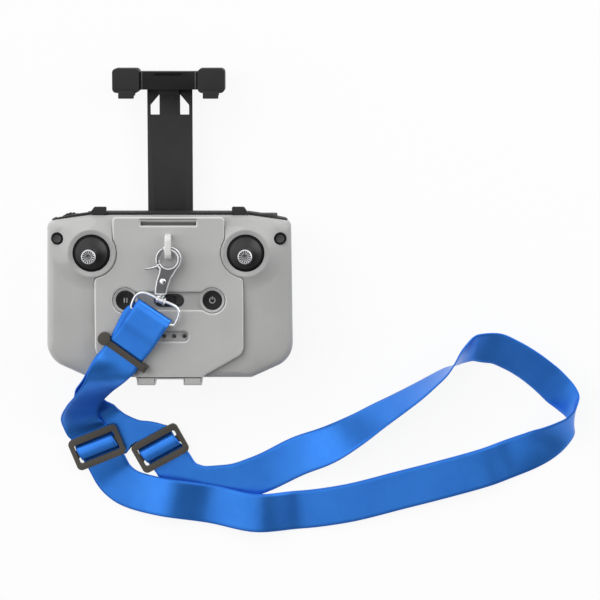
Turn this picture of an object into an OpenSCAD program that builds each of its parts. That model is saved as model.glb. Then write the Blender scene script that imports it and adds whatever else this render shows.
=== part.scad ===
// Handheld radio transmitter controller with a sprung phone clamp, a clip-on strap bracket
// and a neck strap. It lies on its back: the front face looks along +Z, the clamp is at +Y.

/* [Body] */
// Width across both grips
body_w = 153; // [151:0.5:156]
// Depth from the flat back to the front face
body_d = 36; // [35.5:0.5:37]
// Shell wall thickness
wall = 2.2; // [1.8:0.1:2.4]
// Height at which the two shells meet
split_z = 18; // [17.5:0.5:18.5]
// Radius of the case screw shanks
screw_r = 1.2; // [1:0.1:1.4]

/* [Sticks] */
// Distance of each stick from the middle of the body
stick_x = 47.5; // [47:0.25:48]
// Height of each stick above the body origin
stick_y = 29.4; // [29:0.2:30]
// Height of the crossing of the two tilt axes
pivot_z = 24; // [23.8:0.1:24.2]
// Radius of the dome that closes the opening
dome_r = 17.8; // [17.5:0.1:18]
// Height of the stick ends above the back
stick_top = 60; // [56:1:64]
// Radius of the metal stick ends
tip_r = 4.4; // [4:0.1:5]
// Radius of the gimbal pins
pin_r = 1.5; // [1.3:0.1:1.7]

/* [Buttons] */
// Radius of the two round face buttons
button_r = 6.25; // [5.8:0.05:6.4]
// Distance of the round face buttons from the middle
button_x = 26.8; // [26.4:0.2:27.2]
// Radius of the small upper buttons
small_r = 3.6; // [3.2:0.1:3.8]
// Length of the mode switch slot
mode_l = 18; // [17:0.5:19]
// Radius of the thumb dial on the left shoulder
dial_r = 9; // [8.5:0.1:9.2]

/* [Phone clamp] */
// Gap between the rest and the sliding head
clamp_gap = 71.6; // [66:0.2:74]
// Width of the sliding stem
stem_w = 28; // [26:0.5:28]
// Thickness of the sliding stem
stem_t = 3; // [2.6:0.1:3.2]
// Width of each rubber pad on the head
pad_w = 16.6; // [15:0.2:17]

/* [Strap bracket] */
// Thickness of the bracket plate
plate_t = 2.2; // [1.8:0.1:2.4]
// Half the width of the plate below the sticks
plate_half = 46; // [45:0.5:46.5]
// Radius of the holes around the round buttons
plate_hole_r = 8.05; // [7.6:0.05:8.4]

/* [Neck strap] */
// Width of the webbing
strap_w = 25; // [23:0.5:25]
// Thickness of the webbing
strap_t = 1; // [0.8:0.1:1]
// Wire diameter of the D-ring
wire_d = 2; // [1.6:0.1:2]

/* [Hidden] */
$fn = 48;
gap = 0.3;
run = 0.05;
top_y = 52;
low_y = -49.5;
mid_y = (top_y + low_y) / 2;
body_h = top_y - low_y;
edge_x = body_w / 2;
face_in = body_d - wall;
plate_z = body_d + plate_t;
rest_y = top_y + 1.6;
head_y = rest_y + clamp_gap;
collar_z = body_d + 3;
screws = [[61, 12], [58, -28], [24, -36], [24, 37]];
lamp_x = [-9.3, -3.1, 3.1, 9.3];
lamp_y = -22.5;
dial_at = [-61, 43.6];
stem_z = 9;
hook_z = 42;
hook_c = [0.2, 26.1];
rivet = [-3.4, 12.5];
swivel_at = [-4.7, 4.1];
bar_c = [-9.9, -9.7];
ring_a = 23.3;
fold_c = [-8, -5];
fold_a = -34;
fold_r = 2.1;
keeper_c = [-27.9, -32.6];
keeper_a = -36;
buckle_h = 20.6;
buckle_z = 1.7;
buckle_t = 2.8;
buckle_1 = [-48.3, -98.6, 22, 8, 1.6];
buckle_2 = [-8.2, -99.5, 29, 9, 0];

// Webbing stations: x, y, z of the centre, plan angle and lean of the width.
drop_back = [
    [-28, -32.5, 39.9, -36, 0],
    [-31.5, -37.5, 39.8, -36, 0],
    [-35, -41, 40, -34, -10],
    [-40.5, -47.5, 38, -29, -30],
    [-46, -53.5, 33.5, -25, -44],
    [-51, -60.5, 27, -20, -47],
    [-51.5, -66, 18.5, -8, -40],
    [-50, -72, 9.5, 8, -25],
    [-47.5, -78, 2.3, 24, -2],
    [-41.5, -85, 0.8, 44, 0],
    [-34, -90, 0.8, 58, 0],
    [-25, -93, 0.8, 60, 0]
];
far_run = [
    [6.5, -119, 0.8, 46, 0],
    [20, -124, 0.8, 82, 0],
    [36, -123, 0.8, 98, 0],
    [55.5, -117, 0.8, 110, 0],
    [79.5, -105, 2.4, 113, -7],
    [98.5, -97, 6.5, 115, -27],
    [117.5, -86, 10, 119, -47],
    [131, -77, 11.5, 122, -58],
    [144.5, -68.5, 12.5, 123, -67],
    [156, -61, 13, 124, -74],
    [165, -54.5, 13.3, 127, -81],
    [172.5, -49, 13.4, 127, -88],
    [179, -44, 13.1, 116, -102],
    [185, -38, 11.5, 98, -122],
    [192.5, -34, 9, 87, -141],
    [203.5, -34.5, 7.2, 75, -150],
    [215, -39, 7.5, 65, -148],
    [224.5, -44.5, 7.8, 58, -147],
    [232, -50, 7.8, 54, -147],
    [238.5, -55.5, 7.5, 51, -148],
    [244.5, -61.5, 7.8, 51, -147],
    [250, -67, 9.2, 55, -139],
    [253.5, -72, 10.5, 68, -131],
    [254.5, -77.5, 11.3, 92, -124],
    [253, -83, 10.9, 114, -128],
    [248.5, -88, 9.3, 124, -138],
    [241, -94, 6.5, 122, -153],
    [231.5, -99.5, 3.5, 114, -168],
    [216, -106, 2.2, 108, -178],
    [198.5, -112, 4.8, 106, -180],
    [172.5, -119.5, 4.4, 105, -180],
    [146.5, -126.5, 3.4, 104, -180],
    [107, -136.5, 2.2, 101, -180],
    [81, -140, 1.2, 96, -180],
    [55.5, -141, 7.6, 88, -180],
    [24, -136, 2.6, 81, -180],
    [-2, -131.5, 6.8, 79, -180],
    [-16, -129.5, 3, 74, -180],
    [-28, -126, 1.2, 60, -180],
    [-37, -119, 0.8, 40, -180]
];
rise_front = [
    [-55.5, -87.5, 3.1, 19, -180],
    [-57, -84, 5.6, 10, -185],
    [-58.5, -79, 10.2, -2, -200],
    [-56, -71, 19, -13, -218],
    [-50.5, -62.5, 28.5, -20, -227],
    [-45, -55.5, 35, -25, -224],
    [-40, -48.5, 40, -29, -210],
    [-35, -41.5, 42.2, -34, -190],
    [-31, -37, 42, -36, -181],
    [-28, -32.5, 42, -36, -180]
];

function arc_pts(c, r, a, b, n) =
    [for (i = [0:n]) c + r * [cos(a + (b - a) * i / n), sin(a + (b - a) * i / n)]];

function half_outline() = concat(
    arc_pts([edge_x - 29, top_y - 3.5], 3.5, 90, 82, 2),
    arc_pts([edge_x - 5.5, top_y - 7.8], 4.5, 82, 0.8, 7),
    arc_pts([edge_x - 16, -27.5], 16, 0.8, -65.5, 9),
    arc_pts([edge_x - 26.5, low_y + 4], 4, -65.5, -90, 3)
);

function body_outline() = let (h = half_outline(), n = len(h))
    concat(h, [for (i = [n - 1:-1:0]) [-h[i][0], h[i][1]]]);

module outline(inset, inset_y) {
    translate([0, mid_y])
        scale([1 - inset / edge_x, 1 - 2 * inset_y / body_h])
            translate([0, -mid_y])
                polygon(body_outline());
}

module slice(z, inset) {
    translate([0, 0, z])
        linear_extrude(0.01)
            outline(inset, inset);
}

// Slice of the crowned face: further in at the sides than at the top and bottom.
module crown_slice(z, inset, inset_y) {
    translate([0, 0, z])
        linear_extrude(0.01)
            outline(inset, inset_y);
}

module lobe_slice(z, inset, dx) {
    translate([0, 0, z])
        linear_extrude(0.01)
            intersection() {
                outline(inset, inset);
                translate([40 + dx, -60])
                    square([60, 120]);
            }
}

module both() {
    children();
    mirror([1, 0, 0])
        children();
}

module pill(w, h) {
    r = min(w, h) / 2;
    union() {
        square([max(w - 2 * r, 0.01), max(h, 0.01)], center = true);
        translate([-(w / 2 - r), 0])
            circle(r);
        translate([w / 2 - r, 0])
            circle(r);
    }
}

module soft_rect(w, h, r) {
    union() {
        square([w - 2 * r, h], center = true);
        square([w, h - 2 * r], center = true);
        for (sx = [-1, 1], sy = [-1, 1])
            translate([sx * (w / 2 - r), sy * (h / 2 - r)])
                circle(r);
    }
}

module soft_block(w, h, r, z0, z1) {
    translate([0, 0, z0])
        linear_extrude(z1 - z0)
            soft_rect(w, h, r);
}

module at_screws() {
    for (p = screws, s = [-1, 1])
        translate([s * p[0], p[1], 0])
            children();
}

module shutter_shape(extra, y0, y1) {
    translate([61, y1, 20])
        rotate([90, 0, 0])
            linear_extrude(y1 - y0)
                pill(12 + 2 * extra, 6 + 2 * extra);
}

module dial_slot() {
    translate([dial_at[0], dial_at[1] + 5, 17.7])
        cube([2 * dial_r + 1.4, 2 * dial_r + 10, 6.4], center = true);
}

module usb_hole(extra) {
    translate([0, low_y + 8, 24])
        rotate([90, 0, 0])
            linear_extrude(12)
                pill(9 + 2 * extra, 3.2 + 2 * extra);
}

module plate_shape(grow) {
    offset(r = 2.5)
        offset(delta = -2.5)
            difference() {
                union() {
                    translate([-34.5 - grow, -20])
                        square([69 + 2 * grow, 71.7 + grow]);
                    polygon([
                        [-plate_half - grow, 20.9], [plate_half + grow, 20.9],
                        [plate_half + grow, -33], [44 + grow, -36 - grow],
                        [21, -47.6 - grow], [21, -49.5 - grow],
                        [-21, -49.5 - grow], [-21, -47.6 - grow],
                        [-44 - grow, -36 - grow], [-plate_half - grow, -33]
                    ]);
                }
                for (s = [-1, 1])
                    translate([s * stick_x, stick_y])
                        circle(15.5 - grow);
            }
}

// Front half of the case, with the stick collars, button holes and screw posts.
module front_shell() {
    color([0.70, 0.69, 0.67])
    difference() {
        union() {
            difference() {
                hull() {
                    slice(split_z, 0);
                    slice(body_d - 8, 0);
                    crown_slice(body_d - 4.9, 0.9, 0.7);
                    crown_slice(body_d - 2.7, 2.9, 2.1);
                    crown_slice(body_d - 1.6, 6.3, 3.4);
                    crown_slice(body_d - 0.01, 21.7, 6.3);
                }
                hull() {
                    slice(split_z - 1, wall);
                    slice(body_d - 9, wall);
                    crown_slice(body_d - 6, wall + 1.4, wall + 1.2);
                    crown_slice(body_d - 4.4, wall + 4, wall + 3);
                    crown_slice(face_in - 1.5, wall + 6.5, wall + 4);
                    crown_slice(face_in - 0.01, wall + 22, wall + 6);
                }
            }
            intersection() {
                both()
                    translate([stick_x, stick_y, body_d - 3.1])
                        cylinder(r1 = 23.4, r2 = 14.6, h = collar_z - body_d + 3.1, $fn = 64);
                difference() {
                    slice_block(split_z, collar_z, 0.6);
                    translate([0, 0, body_d])
                        linear_extrude(6)
                            plate_shape(gap);
                }
            }
            at_screws()
                translate([0, 0, split_z])
                    cylinder(r = 3, h = face_in + 0.2 - split_z);
        }
        both()
            translate([stick_x, stick_y, pivot_z])
                sphere(r = dome_r + 0.45, $fn = 64);
        both()
            translate([stick_x, stick_y, collar_z - 0.8])
                cylinder(r1 = 11.7, r2 = 14.2, h = 0.9, $fn = 64);
        both()
            translate([68.8, 38.1, body_d - 8])
                cylinder(r = small_r + gap, h = 12);
        both()
            translate([button_x, -0.1, body_d - 8])
                cylinder(r = button_r + gap, h = 12);
        translate([0, -0.3, body_d - 8])
            linear_extrude(12)
                pill(mode_l + 2 * gap, 7.5 + 2 * gap);
        for (x = lamp_x)
            translate([x, lamp_y, body_d - 8])
                cylinder(r = 1.5, h = 12, $fn = 24);
        at_screws()
            translate([0, 0, split_z - 1])
                cylinder(r = screw_r + 0.1, h = 11.5, $fn = 24);
        shutter_shape(0.4, 40, 56);
        dial_slot();
        usb_hole(0.25);
    }
}

module slice_block(z0, z1, inset) {
    translate([0, 0, z0])
        linear_extrude(z1 - z0)
            outline(inset, inset);
}

module lobe(grow) {
    hull() {
        lobe_slice(12 + grow, 1 + grow, 0 + grow);
        lobe_slice(5 + grow, 3.5 + grow, 2.5 + grow);
        lobe_slice(1.2 + grow, 8 + grow, 6 + grow);
        lobe_slice(grow, 11 + grow, 9 + grow);
    }
}

// Rear half of the case: two grip lobes and a middle spine stand on the flat back plane.
module rear_shell() {
    color([0.66, 0.65, 0.63])
    difference() {
        union() {
            difference() {
                union() {
                    hull() {
                        slice(split_z - 0.01, 0);
                        slice(14, 0.3);
                        slice(9, 2);
                        slice(5.5, 6);
                    }
                    lobe(0);
                    mirror([1, 0, 0])
                        lobe(0);
                    hull() {
                        soft_block(66, 88, 6, 7, 7.1);
                        soft_block(62, 84, 6, 1.2, 1.3);
                        soft_block(58, 80, 6, 0, 0.1);
                    }
                }
                hull() {
                    slice(split_z + 1, wall);
                    slice(14, wall + 0.4);
                    slice(9.2, wall + 2.2);
                    slice(7.8, wall + 6);
                }
                lobe(wall);
                mirror([1, 0, 0])
                    lobe(wall);
                soft_block(53, 75, 4, wall, 9);
            }
            at_screws()
                translate([0, 0, 1])
                    cylinder(r = 3.6, h = split_z - gap - 1);
            translate([dial_at[0], dial_at[1], 6])
                cylinder(r = 3.4, h = 8.8);
        }
        at_screws() {
            translate([0, 0, -1])
                cylinder(r = 2.6, h = 6.2);
            translate([0, 0, 3])
                cylinder(r = screw_r + 0.1, h = 20, $fn = 24);
        }
        translate([0, top_y - 2, stem_z + stem_t / 2])
            cube([stem_w + 1, 12, stem_t + 1], center = true);
        translate([dial_at[0], dial_at[1], 10])
            cylinder(r = pin_r + run, h = 10);
        shutter_shape(0.4, 40, 56);
        dial_slot();
    }
}

// Black inserts on the two sloping shoulders.
module shoulder_trims() {
    color([0.05, 0.05, 0.055])
    difference() {
        for (s = [-1, 1])
            translate([0, 0, 14.5])
                linear_extrude(10.2)
                    polygon([
                        [s * 47.6, top_y + 0.05], [s * 48.2, top_y + 1.6], [s * 60, top_y],
                        [s * 72, top_y - 2.5], [s * 73.4, top_y - 3.4]
                    ]);
        slice_block(10, 30, -0.02);
        shutter_shape(0.4, 40, 58);
        dial_slot();
    }
}

// Rubber rest along the upper edge, with two hooks that hold the lower edge of a phone.
module phone_rest() {
    color([0.06, 0.06, 0.065])
    union() {
        translate([-46.5, top_y + 0.02, 14.5])
            cube([93, 1.58, 12.5]);
        both()
            translate([42.8, top_y + 0.02, 25])
                linear_extrude(4)
                    polygon([[-3.7, 0], [-3.7, 1.5], [-4, 4.4], [-3.4, 5], [3.4, 5], [4, 4.4],
                        [6.4, 0.8], [3.7, 0]]);
    }
}

// Clip-on plate with the strap loop, cut out around the sticks, buttons and lamps.
module strap_bracket() {
    color([0.72, 0.71, 0.70])
    difference() {
        union() {
            translate([0, 0, body_d])
                linear_extrude(plate_t)
                    plate_shape(0);
            both()
                translate([8.6, low_y - 3.6, body_d - 9])
                    cube([11.6, 3, plate_t + 9]);
            both()
                translate([8.6, low_y - 1.5, body_d])
                    cube([11.6, 3, plate_t]);
        }
        both()
            translate([button_x, -0.1, body_d - 1])
                cylinder(r = plate_hole_r, h = 8);
        translate([0, -0.35, body_d + 2])
            cube([2 * button_x, 11.2, 8], center = true);
        translate([0, lamp_y, body_d - 1])
            linear_extrude(8)
                soft_rect(24, 6.4, 2.8);
        translate([0, 47.7, body_d + 1])
            cube([34.3, 2.8, 8], center = true);
    }
}

// Upright loop on the plate that the snap hook closes around.
module bracket_eyelet() {
    color([0.86, 0.86, 0.85])
    translate([-2, 0, plate_z + 0.01])
        rotate([90, 0, 90])
            linear_extrude(4)
                difference() {
                    union() {
                        translate([26, 0])
                            square([15.4, 3.5]);
                        translate([30.5, 3.5])
                            circle(4.5);
                        translate([30.5, 3.5])
                            square([6.4, 4.5]);
                        translate([36.9, 3.5])
                            circle(4.5);
                    }
                    translate([29.4, -1])
                        square([8.2, 5.4]);
                    translate([30.9, 4.4])
                        circle(1.5);
                    translate([36.1, 4.4])
                        circle(1.5);
                    translate([30.9, 4])
                        square([5.2, 1.9]);
                    translate([20, -5])
                        square([30, 5]);
                }
}

// Cross-head screws that hold the two shells together.
module case_screws() {
    color([0.25, 0.25, 0.26])
    at_screws()
        difference() {
            union() {
                translate([0, 0, 3.4])
                    cylinder(r = 2.3, h = 1.7, $fn = 32);
                cylinder_from(5, 28, screw_r);
            }
            translate([0, 0, 3.6])
                cube([2.6, 0.6, 1.4], center = true);
            translate([0, 0, 3.6])
                cube([0.6, 2.6, 1.4], center = true);
        }
}

module cylinder_from(z0, z1, r) {
    translate([0, 0, z0])
        cylinder(r = r, h = z1 - z0, $fn = 32);
}

// Clear pipes that carry the light of the four status lamps to the face.
module status_lamps() {
    color([0.85, 0.86, 0.88])
    for (x = lamp_x)
        translate([x, lamp_y, 0]) {
            cylinder_from(29.4, body_d + 0.1, 1.2);
        }
}

// Charging socket in the lower edge.
module usb_socket() {
    color([0.6, 0.61, 0.63])
    union() {
        difference() {
            translate([0, low_y + 7.4, 24])
                rotate([90, 0, 0])
                    linear_extrude(7.2)
                        pill(9, 3.2);
            translate([0, low_y + 6.4, 24])
                rotate([90, 0, 0])
                    linear_extrude(8)
                        pill(8.3, 2.5);
        }
        translate([-3.3, low_y + 1.4, 23.65])
            cube([6.6, 5.6, 0.7]);
    }
}

// Circuit board behind the face, with the switches under the buttons.
module main_board() {
    color([0.08, 0.32, 0.18])
    union() {
        translate([0, 0, 26])
            linear_extrude(1.6)
                polygon([[-20, -46], [20, -46], [20, -31], [27, -31], [27, -16], [33, -14], [33, 7],
                    [27, 9], [27, 32], [19, 32], [19, 47], [-19, 47], [-19, 32], [-27, 32],
                    [-27, 9], [-33, 7], [-33, -14], [-27, -16], [-27, -31], [-20, -31]]);
        both()
            translate([button_x - 3, -3.1, 27.6])
                cube([6, 6, 1]);
        for (x = lamp_x)
            translate([x - 0.9, lamp_y - 0.9, 27.6])
                cube([1.8, 1.8, 1.4]);
        translate([-9, 18, 27.6])
            cube([18, 16, 1.4]);
        translate([-14, -38, 27.6])
            cube([9, 9, 1.2]);
        translate([-6, -3, 27.6])
            cube([12, 5.4, 1.6]);
    }
}

// Small boards with the switches of the two upper buttons.
module side_boards() {
    color([0.08, 0.32, 0.18])
    both()
        union() {
            translate([66.4, 33, 26.6])
                cube([6.4, 10.4, 1.4]);
            translate([66.8, 36.1, 28])
                cube([4, 4, 1]);
        }
}

// Flat rechargeable cell between the clamp guide and the board.
module battery_pack() {
    color([0.20, 0.24, 0.34])
    translate([0, -17, 0])
        soft_block(40, 46, 2, 15.2, 24.6);
}

module stick_place(s) {
    translate([s * stick_x, stick_y, pivot_z])
        children();
}

// Fixed frame of one gimbal, with bores for the up-and-down tilt.
module gimbal_frame(s) {
    color([0.16, 0.16, 0.17])
    stick_place(s)
        difference() {
            union() {
                translate([0, 0, -14.5])
                    cylinder(r = 14.6, h = 2);
                for (k = [-1, 1])
                    translate([k * 11.8 - 1.4, -4, -13])
                        cube([2.8, 8, 17]);
            }
            rotate([0, 90, 0])
                cylinder(r = pin_r + run, h = 40, center = true);
            translate([0, 0, -16])
                cylinder(r = 6, h = 6);
        }
}

// Ring that tilts up and down in the frame and carries the stick's cross pin.
module gimbal_yoke(s) {
    color([0.62, 0.63, 0.65])
    stick_place(s)
        difference() {
            union() {
                translate([0, 0, -2.4])
                    cylinder(r = 9.4, h = 4.8);
                rotate([0, 90, 0])
                    cylinder(r = pin_r, h = 25.6, center = true);
            }
            translate([0, 0, -5])
                cylinder(r = 6.6, h = 10);
            rotate([90, 0, 0])
                cylinder(r = pin_r + run, h = 30, center = true);
        }
}

// Stick with its cross pin, hub and the dome that covers the opening.
module stick(s) {
    color([0.03, 0.03, 0.034])
    stick_place(s)
        union() {
            intersection() {
                difference() {
                    sphere(r = dome_r, $fn = 64);
                    sphere(r = dome_r - 1.4, $fn = 64);
                }
                translate([0, 0, 7.4])
                    cylinder(r = 30, h = 20);
            }
            sphere(r = 4.2);
            cylinder(r = 2.6, h = dome_r - 0.4);
            translate([0, 0, dome_r - 1.4])
                cylinder(r1 = 2.7, r2 = 2.1, h = 4.6);
            translate([0, 0, dome_r + 3])
                cylinder(r = 2.1, h = stick_top - 8.2 - pivot_z - dome_r - 3);
            rotate([90, 0, 0])
                cylinder(r = pin_r, h = 18.4, center = true);
        }
}

// Screwed-on metal end of one stick, with a ring of grip teeth.
module stick_tip(s) {
    color([0.80, 0.80, 0.82])
    stick_place(s)
        translate([0, 0, stick_top - pivot_z - 8]) {
            difference() {
                union() {
                    cylinder(r1 = 2.4, r2 = 3.2, h = 2.5);
                    translate([0, 0, 2.5])
                        cylinder(r1 = 3.2, r2 = tip_r, h = 3);
                    translate([0, 0, 5.5])
                        cylinder(r = tip_r, h = 2.5);
                }
                translate([0, 0, 6.8])
                    cylinder(r1 = 1.6, r2 = 2.6, h = 1.3);
                for (i = [0:11])
                    rotate([0, 0, i * 30])
                        translate([2.4, -0.3, 7.2])
                            cube([3, 0.6, 2]);
            }
        }
}

// Small round button of the upper corners.
module small_button(s) {
    color([0.30, 0.30, 0.31])
    translate([s * 68.8, 38.1, 0]) {
        union() {
            cylinder_from(31.5, body_d - 0.3, small_r);
            cylinder_from(30.4, 31.5, 2);
        }
    }
}

// Round face button.
module face_button(s) {
    color([0.035, 0.035, 0.04])
    translate([s * button_x, -0.1, 0]) {
        union() {
            translate([0, 0, 31.4])
                cylinder(r = button_r, h = body_d + 0.9 - 31.4);
            cylinder_from(30, 31.4, 3);
        }
    }
}

// Dark tray that the three-place mode switch runs in.
module mode_track() {
    color([0.03, 0.03, 0.03])
    translate([0, -0.3, 32.6])
        difference() {
            linear_extrude(body_d + 0.2 - 32.6)
                pill(mode_l, 7.5);
            translate([0, 0, 1.2])
                linear_extrude(6)
                    pill(mode_l - 1.6, 5.9);
        }
}

// Sliding key of the mode switch.
module mode_slider() {
    color([0.07, 0.07, 0.075])
    translate([0, -0.3, 0])
        difference() {
            soft_block(6.4, 5.2, 1.4, 34.1, body_d + 0.9);
            for (x = [-1.6, 0, 1.6])
                translate([x - 0.25, -2, body_d + 0.5])
                    cube([0.5, 4, 1]);
        }
}

// Ribbed wheel on the left shoulder.
module thumb_dial() {
    color([0.07, 0.07, 0.075])
    translate([dial_at[0], dial_at[1], 15.2])
        difference() {
            cylinder(r = dial_r, h = 5, $fn = 64);
            translate([0, 0, -1])
                cylinder(r = pin_r + run, h = 8);
            for (i = [0:23])
                rotate([0, 0, i * 15])
                    translate([dial_r - 0.5, -0.35, -1])
                        cube([2, 0.7, 8]);
        }
}

// Pin that the wheel turns on, with a cap over it.
module dial_axle() {
    color([0.7, 0.7, 0.72])
    translate([dial_at[0], dial_at[1], 0]) {
        union() {
            translate([0, 0, 10.3])
                cylinder(r = pin_r, h = 10.4);
            cylinder_from(20.5, 21.3, 2.6);
        }
    }
}

// Oval release button on the right shoulder.
module shutter_button() {
    color([0.28, 0.28, 0.29])
    union() {
        shutter_shape(0, 43.9, 52.6);
        translate([58, 42.8, 18])
            cube([6, 1.2, 4]);
    }
}

// Channel inside the rear shell that the stem slides in.
module clamp_guide() {
    color([0.12, 0.12, 0.13])
    difference() {
        union() {
            translate([-stem_w / 2 - 3, -37, stem_z - 1.9])
                cube([stem_w + 6, 74, stem_t + 3.8]);
            for (y = [-32, 26])
                translate([-stem_w / 2, y, wall + 0.05])
                    cube([stem_w, 5, stem_z - 1.9 - wall]);
        }
        translate([-stem_w / 2 - gap, -50, stem_z - gap])
            cube([stem_w + 2 * gap, 100, stem_t + 2 * gap]);
    }
}

// Flat stem that draws out of the upper edge and carries the clamp head.
module clamp_stem() {
    color([0.05, 0.05, 0.055])
    difference() {
        translate([-stem_w / 2, 27.5, stem_z])
            cube([stem_w, head_y + 4.2 - 27.5, stem_t]);
        both()
            translate([0, 0, stem_z - 1])
                linear_extrude(stem_t + 2)
                    polygon([[6.4, head_y + 0.6], [6.4, head_y - 12], [12, head_y - 12],
                        [12, head_y - 6]]);
        for (y = [34, 42])
            translate([-9, y, stem_z - 1])
                cube([18, 3, stem_t + 2]);
    }
}

// Cross bar at the top of the stem, with the antennas inside.
module clamp_head() {
    color([0.055, 0.055, 0.06])
    difference() {
        union() {
            translate([-17.9, head_y + 4, 7])
                cube([35.8, 11, 17.5]);
            both()
                translate([17.8, head_y + 5, 8])
                    cube([14.6, 9, 15]);
            translate([-6.1, head_y + 0.8, 12.3])
                cube([12.2, 3.3, 11]);
        }
        translate([-20, head_y + 3, stem_z - 0.02])
            cube([40, 1.22, stem_t + 0.04]);
        translate([-14.8, head_y + 6, 8.6])
            cube([29.6, 7, 13.4]);
        translate([-8, head_y + 12.4, 24])
            cube([16, 1.4, 2]);
        for (x = [-16.4, 16.4])
            translate([x - 0.4, head_y + 3, 24.1])
                cube([0.8, 14, 1]);
    }
}

// Rubber caps over the two ends of the cross bar.
module clamp_pads() {
    color([0.04, 0.04, 0.043])
    both()
        difference() {
            translate([26.3, head_y + 9.5, 0])
                soft_block(pad_w, 15, 2.6, 6.6, 26.5);
            translate([17, head_y + 4.9, 7.9])
                cube([15.5, 9.2, 15.2]);
            translate([17, head_y + 3.5, stem_z - 3])
                cube([0.95, 13, 30]);
        }
}

// Hooked fingers of the head that reach over the front of a phone.
module clamp_lips() {
    color([0.045, 0.045, 0.05])
    both()
        union() {
            translate([21.2, head_y, 12.4])
                cube([9.6, 1.9, 16.6]);
            translate([21.2, head_y - 1.4, 26.6])
                cube([9.6, 4.6, 2.4]);
        }
}

// Thin antenna strips inside the cross bar.
module antenna_strips() {
    color([0.75, 0.58, 0.25])
    for (z = [11, 17])
        translate([-13, head_y + 7, z])
            cube([26, 5, 0.8]);
}

// Cast body of the trigger snap hook: the fixed jaw, the shank and the slot for the trigger.
module snap_hook() {
    color([0.82, 0.83, 0.85])
    difference() {
        translate([0, 0, hook_z - 1.7])
            linear_extrude(3.4)
                difference() {
                    union() {
                        translate(hook_c)
                            circle(8.1);
                        polygon([[-5.6, 16.4], [-7.4, 12.6], [-8.3, 8], [-8.4, 4.2], [-1, 4.2],
                            [1.4, 13.6], [4.6, 18.8], [2, 21], [-4, 21]]);
                    }
                    translate(hook_c)
                        circle(5.6);
                    translate(hook_c)
                        polygon([[0, 0], [-7, 13.2], [-14, 8], [-14, -5.5]]);
                }
        translate([-14, 8.6, hook_z - 0.8])
            cube([13.4, 16.4, 1.6]);
        translate([rivet[0], rivet[1], hook_z])
            cylinder(r = 1.25, h = 10, center = true, $fn = 32);
        translate([swivel_at[0], swivel_at[1] - 1, hook_z])
            rotate([-90, 0, 0])
                cylinder(r = 1.05, h = 4, $fn = 32);
    }
}

// Sprung gate of the hook with its thumb tail.
module hook_trigger() {
    color([0.80, 0.81, 0.83])
    difference() {
        union() {
            translate([0, 0, hook_z - 0.5])
                linear_extrude(1)
                    union() {
                        translate(rivet)
                            circle(2.6);
                        polygon([[-4.9, 10.6], [-1.4, 13.6], [-4.9, 20.2], [-5.3, 23.6], [-6.4, 25.6],
                            [-7.4, 24.9], [-7.2, 23], [-9, 22.2], [-9, 20.4], [-6, 19.6]]);
                    }
            translate([0, 0, hook_z - 1.5])
                linear_extrude(3)
                    union() {
                        intersection() {
                            translate(hook_c)
                                difference() {
                                    circle(7.8);
                                    circle(5.7);
                                }
                            translate(hook_c)
                                polygon([[0, 0], [-6.6, 11.4], [-14, 8], [-14, -4.5]]);
                        }
                        polygon([[-8.4, 20.6], [-8.4, 22.2], [-14.8, 20.8], [-14.6, 19]]);
                    }
        }
        translate([rivet[0], rivet[1], hook_z])
            cylinder(r = 1.25, h = 10, center = true, $fn = 32);
    }
}

// Rivet that the trigger turns on.
module trigger_rivet() {
    color([0.85, 0.85, 0.87])
    translate([rivet[0], rivet[1], hook_z]) {
        union() {
            cylinder(r = 1.2, h = 4.4, center = true, $fn = 32);
            cylinder_from(1.75, 2.3, 1.9);
            cylinder_from(-2.3, -1.75, 1.9);
        }
    }
}

// Swivel post between the hook and the D-ring, with a cross barrel for the wire.
module hook_swivel() {
    color([0.80, 0.81, 0.83])
    translate([swivel_at[0], swivel_at[1], hook_z])
        difference() {
            union() {
                rotate([90, 0, 0])
                    translate([0, 0, -2.4])
                        cylinder(r = 1, h = 4.2, $fn = 32);
                rotate([90, 0, 0])
                    translate([0, 0, 0.3])
                        cylinder(r = 1.8, h = 1, $fn = 32);
                translate([0, -3.15, 0])
                    rotate([0, 90, -ring_a])
                        cylinder(r = 2.3, h = 4.6, center = true, $fn = 32);
            }
            translate([0, -3.15, 0])
                rotate([0, 90, -ring_a])
                    cylinder(r = wire_d / 2 + gap, h = 12, center = true, $fn = 32);
        }
}

// Closed ring path in its own plane: a flat bar, two round ends and a shallow crown.
function d_path() = concat(
    [[-12.6, 0], [-4, 0], [4, 0], [12.6, 0]],
    arc_pts([12.6, 1.9], 1.9, -60, 0, 3),
    arc_pts([9, 6.2], 5.6, 10, 75, 6),
    [[6, 11.9], [2.6, 11.85], [-2, 11.85], [-6.6, 12.1]],
    arc_pts([-9, 6.2], 5.8, 105, 170, 6),
    arc_pts([-12.8, 1.9], 1.9, 180, 240, 3)
);

module wire_loop(path, r, sides) {
    n = len(path);
    pts = [for (i = [0:n - 1])
        let (a = path[(i + n - 1) % n], b = path[(i + 1) % n],
             d = (b - a) / norm(b - a), out = [d[1], -d[0]])
            for (k = [0:sides - 1])
                let (t = 360 * k / sides)
                    [path[i][0] + out[0] * r * cos(t), path[i][1] + out[1] * r * cos(t), r * sin(t)]];
    faces = [for (i = [0:n - 1], k = [0:sides - 1])
        let (j = (i + 1) % n, m = (k + 1) % sides)
            each [[i * sides + k, j * sides + k, i * sides + m],
                  [i * sides + m, j * sides + k, j * sides + m]]];
    polyhedron(points = pts, faces = faces);
}

// Wire ring between the swivel and the strap.
module d_ring() {
    color([0.82, 0.83, 0.85])
    translate([bar_c[0], bar_c[1], hook_z])
        rotate([0, 0, -ring_a])
            wire_loop(d_path(), wire_d / 2, 12);
}

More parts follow.
